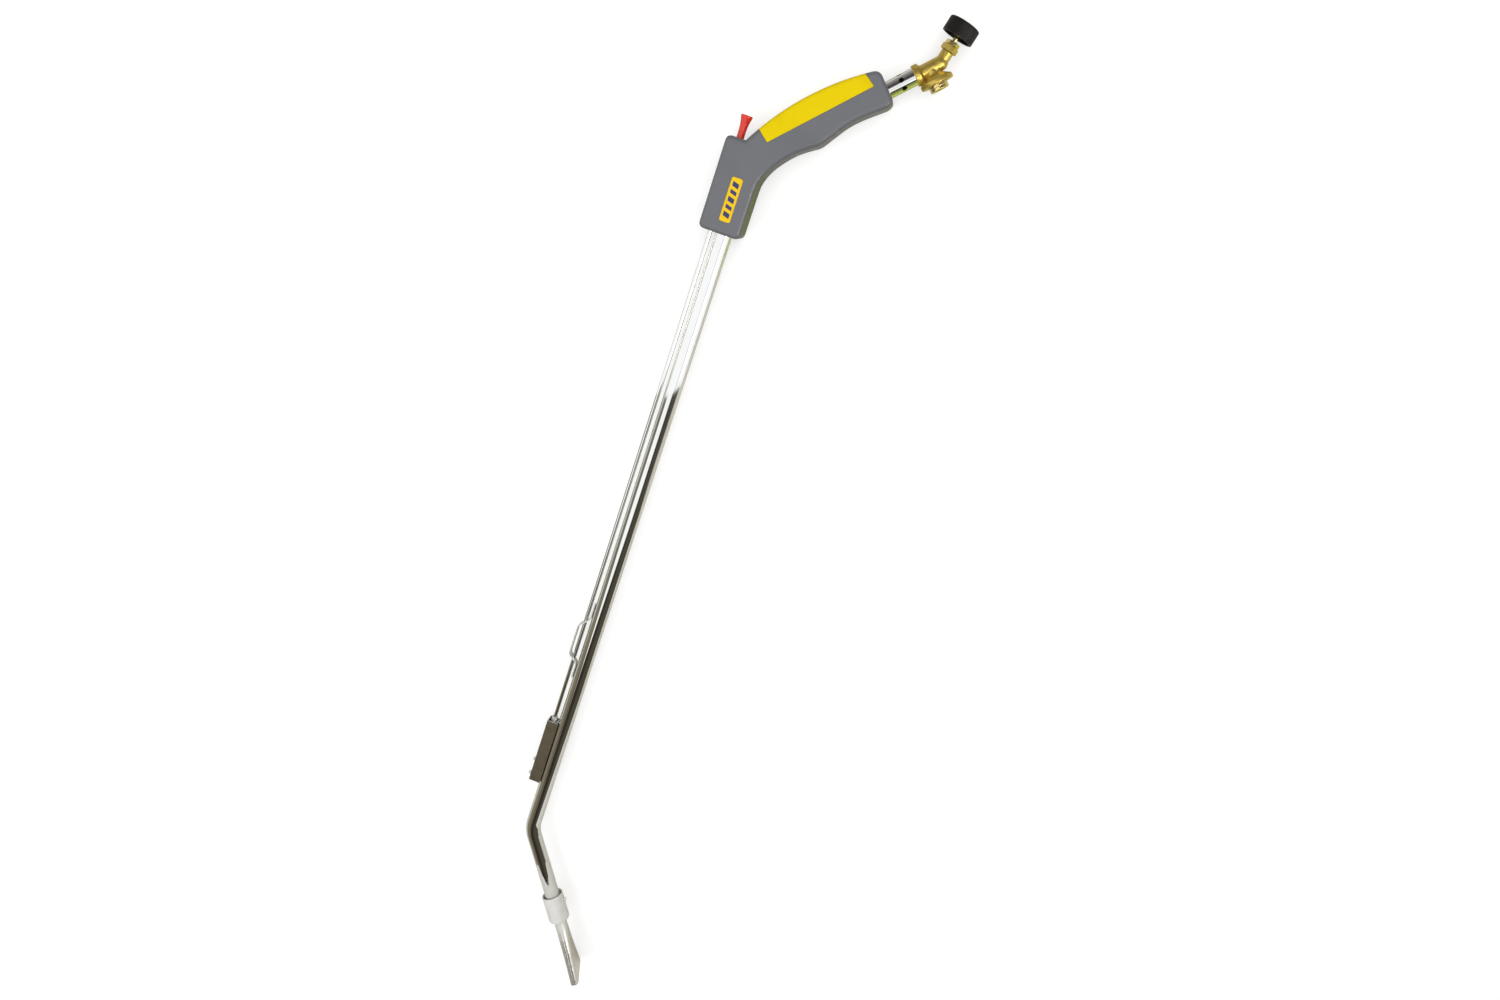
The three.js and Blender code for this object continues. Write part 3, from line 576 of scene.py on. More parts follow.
def label_print():
    look = Finish("label_print", (0.03, 0.03, 0.12))
    look.tint(look.noise(1.5, 4), 0.5, 0.8, (0.05, 0.05, 0.17))
    look.rough(look.noise(1), 0.32, 0.5)
    return look.done()


def button_red():
    """Clear-toned red plastic with a gloss."""
    look = Finish("button_red", (0.74, 0.035, 0.018))
    look.tint(look.noise(6, 2), 0.5, 0.8, (0.62, 0.018, 0.01))
    look.rough(look.noise(3, 4), 0.16, 0.3)
    look.raised(look.noise(2, 2), 0.02, 0.4)
    look.shader.inputs["Subsurface Radius"].default_value = (0.004, 0.001, 0.0006)
    return look.done(Subsurface_Weight=0.25, Subsurface_Scale=0.6, Coat_Weight=0.3)


def knob_black():
    look = Finish("knob_black", (0.009, 0.007, 0.007))
    look.tint(look.noise(5, 4), 0.55, 0.8, (0.014, 0.011, 0.010))
    look.rough(look.noise(2, 4), 0.34, 0.5)
    look.raised(look.noise(0.4), 0.04, 0.5)
    return look.done(Specular_IOR_Level=0.22)


def zinc_steel():
    """Bright zinc: pale grey with a faint spangle and fine scratches."""
    look = Finish("zinc_steel", (0.80, 0.80, 0.78), metallic=0.6)
    look.tint(look.noise(3, 4), 0.45, 0.75, (0.66, 0.66, 0.64))
    look.rough(look.noise(1.4, 5), 0.2, 0.4)
    look.raised(look.noise(0.3, stretch=(0.08, 1, 1)), 0.01, 0.6)
    return look.done()


def box_sheet():
    """Folded sheet with rolled grain and rubbed patches, its dark olive base colour a painted
    reflection of the dark surroundings.
    """
    look = Finish("box_sheet", (0.125, 0.105, 0.066), metallic=0.4)
    look.tint(look.noise(11, 5), 0.45, 0.75, (0.088, 0.074, 0.044))
    look.tint(look.noise(2.4, 5), 0.6, 0.85, (0.21, 0.185, 0.125))
    look.rough(look.noise(3, 5), 0.28, 0.5)
    look.raised(look.noise(0.5, 4, stretch=(0.2, 1, 1)), 0.03, 0.6)
    return look.done()


def burner_steel():
    """Bright drawn steel of the nozzle, with a warm heat tint."""
    look = Finish("burner_steel", (0.80, 0.79, 0.75), metallic=0.75)
    look.tint(look.noise(9, 4), 0.5, 0.8, (0.66, 0.64, 0.56))
    look.rough(look.noise(2.5, 5), 0.07, 0.2)
    look.raised(look.noise(0.5, stretch=(1, 0.15, 0.15)), 0.012, 0.6)
    return heat_dulled(look, (0.68, 0.67, 0.62), 0.165, 0.122)


def cup_satin():
    """The burner cup's dull plating: nearly white, with faint turning lines."""
    look = Finish("cup_satin", (0.76, 0.755, 0.725), metallic=0.15)
    look.tint(look.noise(7, 4), 0.45, 0.8, (0.67, 0.665, 0.635))
    look.rough(look.noise(2, 4), 0.34, 0.52)
    look.raised(look.noise(0.4, stretch=(1, 0.1, 0.1)), 0.01, 0.6)
    return look.done()


def shaded_tube_bore():
    """The tube's unplated inside: dull, lightly rusted steel, painted very dark as the shade inside
    the tube.
    """
    look = Finish("shaded_tube_bore", (0.05, 0.045, 0.04), metallic=0.3)
    look.tint(look.noise(3, 4), 0.5, 0.8, (0.09, 0.055, 0.035))
    look.rough(look.noise(1.5, 4), 0.6, 0.85)
    look.raised(look.noise(0.6), 0.04, 0.6)
    return look.done()


def cast_brass():
    """Tumbled brass casting: grainy, golden olive, with darker patches and lighter flecks from
    noise.
    """
    look = Finish("cast_brass", (0.70, 0.52, 0.12), metallic=0.9)
    look.tint(look.noise(4, 5), 0.5, 0.78, (0.47, 0.33, 0.05))
    look.tint(look.noise(0.9), 0.62, 0.85, (0.84, 0.68, 0.26))
    look.rough(look.noise(1.2, 5), 0.28, 0.5)
    look.raised(look.noise(0.7, 5), 0.09, 0.6)
    return look.done()


def turned_brass():
    look = Finish("turned_brass", (0.90, 0.74, 0.34), metallic=1)
    look.tint(look.noise(5, 4), 0.5, 0.8, (0.72, 0.56, 0.20))
    look.rough(look.noise(1.5, 4), 0.1, 0.26)
    look.raised(look.noise(0.35, 2), 0.008, 0.5)
    return look.done()


def seal_rubber():
    look = Finish("seal_rubber", (0.015, 0.015, 0.016))
    look.tint(look.noise(2, 4), 0.5, 0.8, (0.028, 0.028, 0.028))
    look.rough(look.noise(1), 0.65, 0.85)
    look.raised(look.noise(0.3), 0.03, 0.6)
    return look.done()


def ceramic_white():
    look = Finish("ceramic_white", (0.78, 0.76, 0.69))
    look.tint(look.noise(4, 4), 0.5, 0.8, (0.70, 0.67, 0.58))
    look.rough(look.noise(2), 0.22, 0.4)
    look.raised(look.noise(0.6), 0.015, 0.5)
    return look.done()


def rod_chrome():
    return chrome("rod_chrome", 0.004).done()


MAKERS = (
    tube_chrome, rod_chrome, handle_plastic, inlay_rubber, label_yellow, button_red, knob_black,
    zinc_steel, box_sheet, burner_steel, cast_brass, turned_brass, seal_rubber, ceramic_white,
)
LOOKS = {maker.__name__: maker() for maker in MAKERS}


def shade(thing, material):
    """Smooth shading with crisp edges, weighted so that flat faces stay flat."""
    if not thing.data.materials:
        thing.data.materials.append(None)
    thing.data.materials[0] = material
    thing.data.shade_smooth()
    thing.data.set_sharp_from_angle(angle=30 * DEGREE)
    modifier = thing.modifiers.new("normals", "WEIGHTED_NORMAL")
    modifier.keep_sharp = True
    return thing


def patched(thing, material, is_patch):
    """A second material on the faces that a test of centre and normal picks."""
    while len(thing.data.materials) < 2:
        thing.data.materials.append(None)
    thing.data.materials[1] = material
    for face in thing.data.polygons:
        if is_patch(face.center, face.normal):
            face.material_index = 1
    return thing


def show(node, thing, place=LANCE, look=None):
    """Puts a fine piece in place of its CAD node, on the same body, in its slot's look unless
    another look is given.
    """
    thing.name = "fine_" + node
    moved(thing, place)
    shade(thing, look or LOOKS[SLOT_OF[node]])
    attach(thing, BODY_OF[node])
    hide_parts(node)
    return thing


# ---- gas tube


def heading(angle):
    return Vector((math.cos(angle), math.sin(angle), 0))


def bend(corner_x, radius, start, end):
    """Points and headings round a bend at a corner on the X axis."""
    steps = 24
    turn = math.copysign(1, end - start)
    reach = radius * math.tan(abs(end - start) / 2)
    left = math.pi / 2
    first = Vector((corner_x, 0, 0)) - heading(start) * reach
    centre = first + heading(start + left) * turn * radius
    stations = []
    for i in range(steps + 1):
        angle = start + (end - start) * i / steps
        stations.append((centre - heading(angle + left) * turn * radius, angle))
    return stations


def tube_stations():
    """The tube's centre line from its valve end to its burner end."""
    first = math.pi - GRIP_ANGLE
    last = math.pi + HEAD_ANGLE
    hole_edge = AIR_HOLE_R + 1.5
    marks = [GRIP_RUN, AIR_HOLE_S + hole_edge, AIR_HOLE_S, AIR_HOLE_S - hole_edge, 100, 50]
    stations = [(GRIP_LOCAL @ Vector((s, 0, 0)), first) for s in marks]
    stations += bend(GRIP_BEND_X, GRIP_BEND_R, first, math.pi)
    for x in [*range(0, -600, -50), LEAD_X + 4, LEAD_X, LEAD_X - 4, -640]:
        stations.append((Vector((x, 0, 0)), math.pi))
    stations += bend(HEAD_BEND_X, HEAD_BEND_R, math.pi, last)
    stations += [(HEAD_LOCAL @ Vector((s, 0, 0)), last) for s in (30, 60, 84, HEAD_RUN)]
    return stations


def along_tube(radius, sides):
    """Rings round the tube's centre line."""
    rings = []
    for point, angle in tube_stations():
        side = heading(angle + math.pi / 2)
        rings.append([point + side * u + Vector((0, 0, v)) for u, v in circle(radius, sides)])
    return rings


def faces_the_bore(centre, normal):
    """Whether a face of the tube looks towards the centre line of its own run."""
    radial = Vector((0, centre.y, centre.z))
    for run in (GRIP_LOCAL, HEAD_LOCAL):
        local = run.inverted() @ centre
        if local.x > 0:
            radial = run.to_3x3() @ Vector((0, local.y, local.z))
    return radial.dot(normal) < -1


def main_tube():
    sides = 96
    outer = along_tube(TUBE_R, sides)
    inner = along_tube(TUBE_R - TUBE_WALL, sides)
    tube = skin(outer + inner[::-1], close_rings=True)
    drills = []
    for angle in AIR_HOLE_ANGLES:
        turn = Matrix.Rotation((90 + angle) * DEGREE, 4, "X")
        drill = across(rod(AIR_HOLE_R, 0, 1.5 * TUBE_R, 40), 0)
        place = GRIP_LOCAL @ Matrix.Translation((AIR_HOLE_S, 0, 0)) @ turn
        drills.append(moved(drill, place))
    drills.append(across(rod(LEAD_HOLE_R, 2, 12, 32), LEAD_X))
    # The faces of the bore take a colour painted dark for the shade inside the tube.
    tube = patched(without(tube, *drills), shaded_tube_bore(), faces_the_bore)
    show("main_tube", tube)


# ---- handle

FINGER_SIDE = [
    (3.5, -21.6), (16, -16), (30, -13.5), (45, -13.1), (58, -15.1), (68, -16.8), (82, -14.4),
    (97, -12.1), (112, -12.2), (134, -14.6),
]


def corner_curve(start, control, end):
    """Points from start to end on a curve pulled towards the control point."""
    steps = 12
    points = []
    for k in range(1, steps + 1):
        t = k / steps
        u = 1 - t
        x = start[0] * u * u + 2 * control[0] * t * u + end[0] * t * t
        y = start[1] * u * u + 2 * control[1] * t * u + end[1] * t * t
        points.append((x, y))
    return points


def shifted(points, distance):
    """Moves an open line sideways, to the left of its direction."""
    result = []
    for i, (x, y) in enumerate(points):
        before = points[max(i - 1, 0)]
        after = points[min(i + 1, len(points) - 1)]
        ahead = Vector((after[0] - before[0], after[1] - before[1])).normalized()
        result.append((x - ahead.y * distance, y + ahead.x * distance))
    return result


def handle_outline(inset):
    """The handle's side outline, counter-clockwise, moved in by a distance."""
    foot = HOUSING_FOOT_X + inset
    top = HOUSING_TOP_X - inset
    left = HOUSING_LEFT_Y - inset
    right = HOUSING_RIGHT_Y + inset
    rear = GRIP_END_S - inset
    corner = max(HOUSING_CORNER - inset, 1)

    back_radius = GRIP_BACK_R - inset
    back_centre = grip_point(GRIP_BACK_S, GRIP_BACK_T - GRIP_BACK_R)

    def back_height(s):
        rise = math.sqrt(back_radius**2 - (s - GRIP_BACK_S) ** 2)
        return GRIP_BACK_T - GRIP_BACK_R + rise

    back_start = grip_point(rear - corner, back_height(rear - corner))
    crotch_rise = math.sqrt(back_radius**2 - (top - back_centre[0]) ** 2)
    start_angle = math.atan2(back_start[1] - back_centre[1], back_start[0] - back_centre[0])
    end_angle = math.atan2(crotch_rise, top - back_centre[0])

    fingers = [grip_point(s, t) for s, t in FINGER_SIDE]
    belly = shifted([(44, HOUSING_RIGHT_Y), *fingers], inset)
    heel = FINGER_SIDE[-1][1] + inset

    points = [(foot, right + corner)]
    points += corner_curve(points[-1], (foot, right), (foot + corner, right))
    points += [(v.x, v.y) for v in through([(*p, 0) for p in belly], 10)]
    rear_low = grip_point(rear, heel + corner)
    points += corner_curve(points[-1], grip_point(rear, heel), rear_low)
    points.append(grip_point(rear, back_height(rear) - corner))
    points += corner_curve(points[-1], grip_point(rear, back_height(rear)), back_start)
    steps = 80
    for k in range(1, steps + 1):
        angle = start_angle + (end_angle - start_angle) * k / steps
        x = back_centre[0] + back_radius * math.cos(angle)
        points.append((x, back_centre[1] + back_radius * math.sin(angle)))
    points.append((top, left - corner))
    points += corner_curve(points[-1], (top, left), (top - corner, left))
    points.append((foot + corner, left))
    points += corner_curve(points[-1], (foot, left), (foot, left - corner))[:-1]
    return points


def inwards(outline, distance):
    """A closed counter-clockwise outline moved in, mitred at its corners."""
    result = []
    count = len(outline)
    for i, (x, y) in enumerate(outline):
        before, after = outline[i - 1], outline[(i + 1) % count]
        d0 = Vector((x - before[0], y - before[1])).normalized()
        d1 = Vector((after[0] - x, after[1] - y)).normalized()
        n0, n1 = Vector((-d0.y, d0.x)), Vector((-d1.y, d1.x))
        mitre = (n0 + n1) / (1 + n0.dot(n1))
        result.append((x + mitre.x * distance, y + mitre.y * distance))
    return result


def handle_body(inset):
    half = HANDLE_HALF - inset
    edge = max(HANDLE_EDGE - inset, 0)
    outline = handle_outline(inset)
    if edge == 0:
        return prism(outline, -half, half)
    steps = 8
    rings = []
    for side in (-1, 1):
        for k in range(steps + 1):
            turn = (k if side < 0 else steps - k) * math.pi / 2 / steps
            z = side * (half - edge + edge * math.cos(turn))
            line = inwards(outline, edge * (1 - math.sin(turn)))
            rings.append([(x, y, z) for x, y in line])
    return skin(rings)


def inlay_region(margin):
    far = 40
    corners = [
        (26.8 - margin, 7 - margin), (131.8 + margin, 7 - margin), (125.5 + margin, far),
        (23.3 - margin, far),
    ]
    return prism([grip_point(s, t) for s, t in corners], -far, far)


SCREW_PLACES = [(14, -13), (56, -14), grip_point(24, 12.5), grip_point(76, 14), grip_point(128, 12)]
SCREW_R = 1.6
SCREW_HEAD_R = 3.2
SCREW_SEAT_Z = -14.5
SCREW_TIP_Z = 9.7


def label_outline(margin):
    return rounded_rectangle(16 - margin, 56.6 + margin, -4.3 - margin, 6.3 + margin, 2 + margin)


def handle_ribs():
    reach = 60
    seat = SPRING_SEAT_X
    ribs = [
        block(30, 32, -reach, reach, -reach, reach),
        block(seat - 2, seat, -8, reach, -reach, reach),
        moved(block(51, 53, -reach, reach, -reach, reach), GRIP_LOCAL),
        moved(block(104, 106, -reach, reach, -reach, reach), GRIP_LOCAL),
    ]
    return [common(rib, handle_body(HANDLE_WALL - 0.2)) for rib in ribs]


def beside(thing):
    """Moves a piece made on the X axis onto the igniter's line."""
    return moved(thing, Matrix.Translation((0, ROD_Y, 0)))


def hollow_handle():
    height = HANDLE_HALF - HANDLE_WALL + 1
    bosses = [common(upright(3.2, x, y, -height, height), handle_body(1)) for x, y in SCREW_PLACES]
    shells = without(handle_body(0), handle_body(HANDLE_WALL))
    pocket = without(inlay_region(0.22), handle_body(INLAY_T + GAP))
    channel = skin(along_tube(CHANNEL_R, 48))
    rod_bore = beside(rod(ROD_R + GAP, 0, SPRING_SEAT_X + 1))
    button_bore = beside(rod(BUTTON_R + GAP, HOUSING_TOP_X - HANDLE_WALL - 1, HOUSING_TOP_X + 1))
    whole = joined(shells, *handle_ribs(), *bosses)
    return without(whole, channel, rod_bore, button_bore, pocket)


def handle_shells():
    far = hollow_handle()
    near = copied(far)
    reach = 400
    near = common(near, block(-reach, reach, -reach, reach, SEAM_HALF, reach))
    far = common(far, block(-reach, reach, -reach, reach, -reach, -SEAM_HALF))
    holes = [upright(SCREW_R + GAP, x, y, -20, SCREW_TIP_Z + GAP) for x, y in SCREW_PLACES]
    label_seat = prism(label_outline(0.12), HANDLE_HALF - 1.2, HANDLE_HALF + 1)
    near = without(near, label_seat, *[copied(hole) for hole in holes])
    counterbores = [upright(SCREW_HEAD_R + 0.4, x, y, -20, SCREW_SEAT_Z) for x, y in SCREW_PLACES]
    far = without(far, *holes, *counterbores)
    show("handle_shell_near", near)
    show("handle_shell_far", far)


def grip_inlay():
    """The soft inlay, its rim eased where it meets the shell."""
    skin_part = without(common(handle_body(0), inlay_region(0)), handle_body(INLAY_T))
    show("grip_inlay", softened(skin_part, 0.25, 2))


def handle_screws():
    low = SCREW_SEAT_Z - GAP - 2
    profile = [
        (0, low), (2.4, low + 0.05), (SCREW_HEAD_R, low + 0.8), (SCREW_HEAD_R, low + 2),
        (SCREW_R, low + 2), (SCREW_R, SCREW_TIP_Z - 2), (0.4, SCREW_TIP_Z), (0, SCREW_TIP_Z),
    ]
    upwards = Matrix.Rotation(-math.pi / 2, 4, "Y")
    for i, (x, y) in enumerate(SCREW_PLACES):
        screw = moved(turned(eased(profile, 0.25), 48), upwards)
        slots = [
            block(-1.9, 1.9, -0.38, 0.38, low - 1, low + 1),
            block(-0.38, 0.38, -1.9, 1.9, low - 1, low + 1),
        ]
        screw = without(screw, *slots)
        show(f"handle_screw_{i + 1}", screw, LANCE @ Matrix.Translation((x, y, 0)))


def label():
    plate = prism(label_outline(0), HANDLE_HALF - 0.9, HANDLE_HALF)
    show("label_plate", softened(plate, 0.15))
    bars = []
    for i in range(5):
        x = 22.5 + 6.9 * i
        half = 1.7 if i % 2 else 2.2
        lean = 0.9
        outline = [
            (x - half - lean, -2.1), (x + half - lean, -2.1), (x + half + lean, 4.1),
            (x - half + lean, 4.1),
        ]
        bars.append(prism(outline, HANDLE_HALF, HANDLE_HALF + 0.08))
    marks = softened(joined(*bars), 0.03, 1)
    marks.name = "label_bars"
    shade(moved(marks, LANCE), label_print())
    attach(marks, BODY_OF["label_plate"])


# ---- igniter


def igniter_button():
    collar = HOUSING_TOP_X - HANDLE_WALL - 2
    foot = [
        (0, BUTTON_FOOT_X), (BUTTON_R, BUTTON_FOOT_X), (BUTTON_R, collar - 2),
        (BUTTON_R + 1.1, collar - 2), (BUTTON_R + 1.1, collar), (BUTTON_R, collar), (BUTTON_R, 96),
    ]
    flare = through([(BUTTON_R, 96, 0), (3.75, 101, 0), (4.5, 105.5, 0), (5.45, 109.2, 0)], 6)
    head = [(5.6, 109.8), (5.45, 110.5), (4.7, 110.95), (2.6, 110.8), (0, 110.7)]
    profile = eased(foot, 0.35) + [(v.x, v.y) for v in flare[1:]] + head
    button = without(turned(profile), rod(ROD_R + GAP, BUTTON_FOOT_X - 1, BUTTON_FOOT_X + 8))
    show("igniter_button", beside(button))


def button_spring():
    """The return spring, coiled between its seat and the foot of the button."""
    wire_r = 0.45
    low = SPRING_SEAT_X + GAP + wire_r
    high = BUTTON_FOOT_X - GAP - wire_r
    turns, steps = 5, 240
    path = []
    for i in range(steps + 1):
        t = i / steps
        angle = 2 * math.pi * turns * t
        path.append((low + (high - low) * t, 3.4 * math.cos(angle), 3.4 * math.sin(angle)))
    spring = show("button_spring", beside(wire(path, wire_r, 12)))
    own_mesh(spring)


def guide_bracket():
    """A folded strip spot-welded to the tube, with the rod through its legs."""
    half_sheet = 0.6
    low = TUBE_R + GAP + half_sheet
    high = 19
    route = [(-482.5, low), (-465, low), (-457, high), (-423, high), (-412.5, low), (-395, low)]
    line = eased(route, 3, 8)
    upper = shifted(line, half_sheet)
    lower = shifted(line, -half_sheet)
    strip = prism(lower + upper[::-1], -4, 4)
    strip = softened(strip, 0.25, 2)
    guide = beside(rod(ROD_R + GAP, -490, -390, 40))
    dimple = [(0, -1.05), (0.9, -0.75), (1.3, 0), (0, 0.4)]
    weld_xs = (-477.5, -471, -407.5, -401)
    dimples = [across(turned(dimple, 24), x, low + 2 * half_sheet) for x in weld_xs]
    show("guide_bracket", without(strip, guide, *dimples))


def igniter_box():
    """A folded sheet box, open at its top end, with rounded bends."""

    def shell(inset, x0, x1):
        outline = rounded_rectangle(
            BOX_LOW_Y + inset,
            BOX_HIGH_Y - inset,
            inset - BOX_HALF_Z,
            BOX_HALF_Z - inset,
            1.6 - inset,
        )
        return drawn_out(outline, x0, x1)

    outside = softened(shell(0, BOX_FOOT_X, BOX_TOP_X), 0.3, 2)
    lip_top = BOX_LOW_Y + 2
    wall = BOX_HALF_Z - SHEET_T
    lips = [
        block(BOX_FOOT_X, BOX_TOP_X, BOX_LIP_Y, lip_top, wall, BOX_HALF_Z),
        block(BOX_FOOT_X, BOX_TOP_X, BOX_LIP_Y, lip_top, -BOX_HALF_Z, -wall),
    ]
    inside = shell(SHEET_T, BOX_FOOT_X + SHEET_T, BOX_TOP_X + 1)
    holes = [across(rod(RIVET_HOLE_R, 17, 21, 32), x) for x in RIVET_XS.values()]
    lead_hole = across(rod(LEAD_HOLE_R, BOX_LOW_Y - 1, BOX_LOW_Y + 2, 32), LEAD_X)
    box = without(joined(outside, *lips), inside, *holes, lead_hole)

    def is_cut_edge(centre, normal):
        return normal.x > 0.7 and centre.x > BOX_TOP_X - 0.5

    show("igniter_box", patched(box, LOOKS["zinc_steel"], is_cut_edge))


def piezo():
    low = BOX_LOW_Y + SHEET_T + GAP
    high = BOX_HIGH_Y - SHEET_T - GAP
    body = softened(block(BOX_FOOT_X + SHEET_T + GAP, PIEZO_TOP_X, low, high, -5, 5), 0.5, 3)
    bore = beside(rod(PLUNGER_R + GAP, PIEZO_TOP_X - 16, PIEZO_TOP_X + 1))
    holes = [across(rod(RIVET_HOLE_R, 15, 20, 32), x) for x in RIVET_XS.values()]
    show("piezo_body", without(body, bore, *holes))

    top = -552
    foot = PIEZO_TOP_X - 8
    profile = [(0, foot), (PLUNGER_R, foot), (PLUNGER_R, top - 1), (2.6, top), (0, top)]
    show("piezo_plunger", beside(turned(eased(profile, 0.4))))


def box_rivets():
    head = BOX_HIGH_Y + GAP
    profile = [
        (0, 15.3), (1, 15.3), (1, head), (1.9, head), (1.9, head + 1.8), (1.2, head + 2.6),
        (0, head + 2.8),
    ]
    for node, x in RIVET_XS.items():
        show(node, across(turned(eased(profile, 0.3), 40), x))


def ignition_wires():
    start = BOX_LOW_Y + SHEET_T
    route = [
        (LEAD_X, start), (LEAD_X, 6.4), (LEAD_X - 2, 3.2), (LEAD_X - 7, 1), (LEAD_X - 16, 0.2),
        (-640, 0), (-664, 0),
    ]
    points = [Vector((x, y, 0)) for x, y in route]
    points += [HEAD_LOCAL @ Vector((s, 0, 0)) for s in (8, 20, 50, 90 - GAP)]
    show("ignition_lead", wire(through(points, 12), LEAD_R))
    show("electrode_insulator", rod(2, 90, 102, 48, edge=0.4), HEAD)
    tip = through([(102 + GAP, 0, 0), (107, 0, 0), (111, 1.6, 0), (114, 3.4, 0)], 12)
    show("spark_electrode", wire(tip, 0.6, 20), HEAD)


def igniter():
    igniter_button()
    button_spring()
    push_rod = beside(rod(ROD_R, ROD_FOOT_X, ROD_TOP_X, 48, edge=0.4))
    show("push_rod", push_rod)
    show("rod_ferrule", beside(ring(ROD_R + GAP, 3.1, -543, -534, edge=0.35)))
    guide_bracket()
    igniter_box()
    piezo()
    box_rivets()
    ignition_wires()


# ---- valve


def ball(radius, x):
    steps = 24
    profile = []
    for k in range(steps + 1):
        angle = math.pi * k / steps
        across_radius = radius * math.sin(angle) if 0 < k < steps else 0
        profile.append((across_radius, x - radius * math.cos(angle)))
    return turned(profile)


def valve_body():
    """The casting, its joints run together like cast metal, then its machined bores."""
    seat = BARREL_S + 0.5
    shoulder = [(0, BARREL_S), (COLLAR_R, seat), (BARREL_R, seat + 2), (0, BARREL_S + 3)]
    flange = [(0, 0), (6.2, 0), (6.6, 6), (FLANGE_R, 11), (FLANGE_R, 14.8), (0, 14.8)]
    parts = [
        rod(COLLAR_R, COLLAR_S, seat),
        turned(shoulder),
        rod(BARREL_R, BARREL_S, ELBOW_S),
        ball(BARREL_R, ELBOW_S),
        moved(rod(5.5, 0, 11), SPINDLE_LOCAL),
        moved(turned(flange), CARTRIDGE_LOCAL),
    ]
    casting = joined(*parts)
    remesh = casting.modifiers.new("cast", "REMESH")
    remesh.mode = "VOXEL"
    remesh.voxel_size = 0.34
    smooth = casting.modifiers.new("fillets", "SMOOTH")
    smooth.factor = 0.5
    smooth.iterations = 5
    settle(casting)
    bores = [
        rod(TUBE_R + GAP, COLLAR_S - 1, BARREL_S),
        rod(3.4, BARREL_S - 1, BARREL_S + 5),
        rod(1.6, BARREL_S, ELBOW_S + 1),
        moved(rod(4.2, 5, 12), SPINDLE_LOCAL),
        moved(rod(SPINDLE_R + GAP, 0.8, 6), SPINDLE_LOCAL),
        moved(rod(1.2, 0, 12), CARTRIDGE_LOCAL),
        moved(rod(7.3, 9, 16), CARTRIDGE_LOCAL),
    ]
    show("valve_body", without(casting, *bores), GRIP)


def gas_jet():
    profile = [
        (0.4, 160), (1.6, 160), (3, 163), (4.6, 165), (4.6, 169.5), (3.1, 169.5), (3.1, 176.5),
        (0.8, 176.5), (0.8, 164), (0.4, 160),
    ]
    show("gas_jet", turned(eased(profile, 0.25)), GRIP)


def cartridge_socket():
    """The bush, with the rings of its thread inside and a turned groove outside."""
    bore, end = 5.6, 20.3
    profile = [(bore, 10), (7, 10), (7, 15.1), (8.4, 15.1), (8.4, 17.2), (8.15, 17.4)]
    profile += [(8.15, 17.7), (8.4, 17.9), (8.4, end - 0.5), (7.9, end), (bore + 1, end)]
    profile.append((bore, end - 1))
    pitch = 0.9
    x = end - 1.4
    while x > 13.2:
        profile += [(bore + 0.02, x), (bore + 0.5, x - pitch / 2), (bore, x - pitch)]
        x -= pitch + 0.02
    profile.append((bore, 10))
    socket = turned(eased(profile, 0.12, 2))
    show("cartridge_socket", socket, CARTRIDGE)


def opening_pin():
    profile = [
        (0.4, 9.3), (1.7, 9.3), (1.7, 10.3), (0.9, 10.3), (0.9, 13.5), (0.4, 13.5), (0.4, 9.3),
    ]
    show("opening_pin", turned(eased(profile, 0.12), 40), CARTRIDGE)


def hex_nut(flats, bore, start, end):
    """A hexagon nut with turned chamfers on its corners."""
    corner = flats / math.sqrt(3)
    blank = drawn_out(circle(corner, 6), start, end)
    cut = 0.55
    profile = [
        (0, start), (corner - 1.0, start), (corner + 0.2, start + cut), (corner + 0.2, end - cut),
        (corner - 1.0, end), (0, end),
    ]
    blank = common(softened(blank, 0.2, 2), turned(profile))
    return without(blank, rod(bore, start - 1, end + 1))


def valve_spindle():
    profile = [
        (0, 1.2), (0.6, 1.2), (2, 4), (SPINDLE_R, 4.5), (SPINDLE_R, 27), (2, 27), (2, 32), (0, 32),
    ]
    show("valve_spindle", turned(eased(profile, 0.3)), SPINDLE)


def spindle_seal():
    steps = 16
    profile = []
    for i in range(steps + 1):
        angle = 2 * math.pi * (i % steps) / steps
        profile.append((3.3 + 0.5 * math.cos(angle), 8.5 + 0.5 * math.sin(angle)))
    show("spindle_seal", turned(profile), SPINDLE)


def control_knob():
    """A ribbed cap with a rounded top edge and a hollow skirt round its hub."""
    sides = KNOB_RIBS * 8
    edge = 1.5
    top = KNOB_TOP - TRIM
    profile = [
        (-0.55, KNOB_FOOT, 0), (-0.1, KNOB_FOOT + 0.25, 0.2), (0, KNOB_FOOT + 0.9, 0.6),
        (0, KNOB_FOOT + 1.6, 1), (0, top - edge - 0.4, 1),
    ]
    steps = 6
    for k in range(1, steps + 1):
        turn = math.pi / 2 * k / steps
        depth = 1 - k / steps
        profile.append((-edge * (1 - math.cos(turn)), top - edge * (1 - math.sin(turn)), depth))
    profile += [(-3, top, 0), (-3.4, top - 0.35, 0), (-6, top - 0.4, 0)]
    rings = []
    for inset, x, depth in profile:
        points = []
        for i in range(sides):
            angle = 2 * math.pi * i / sides
            groove = 0.13 * depth * (1 - math.cos(KNOB_RIBS * angle))
            radius = KNOB_R - TRIM + inset - groove
            points.append((x, radius * math.cos(angle), radius * math.sin(angle)))
        rings.append(points)
    cap = skin(rings)
    skirt = ring(4.6, 12.3, KNOB_FOOT - 1, KNOB_FOOT + 8.5, sides=96)
    hub_end = rod(5, KNOB_FOOT - 1, KNOB_FOOT + 1.5)
    bore = rod(SPINDLE_R + GAP, KNOB_FOOT - 1, 27.4)
    seat = rod(2 + GAP, 27, 32.4)
    show("control_knob", without(cap, skirt, hub_end, bore, seat), SPINDLE)


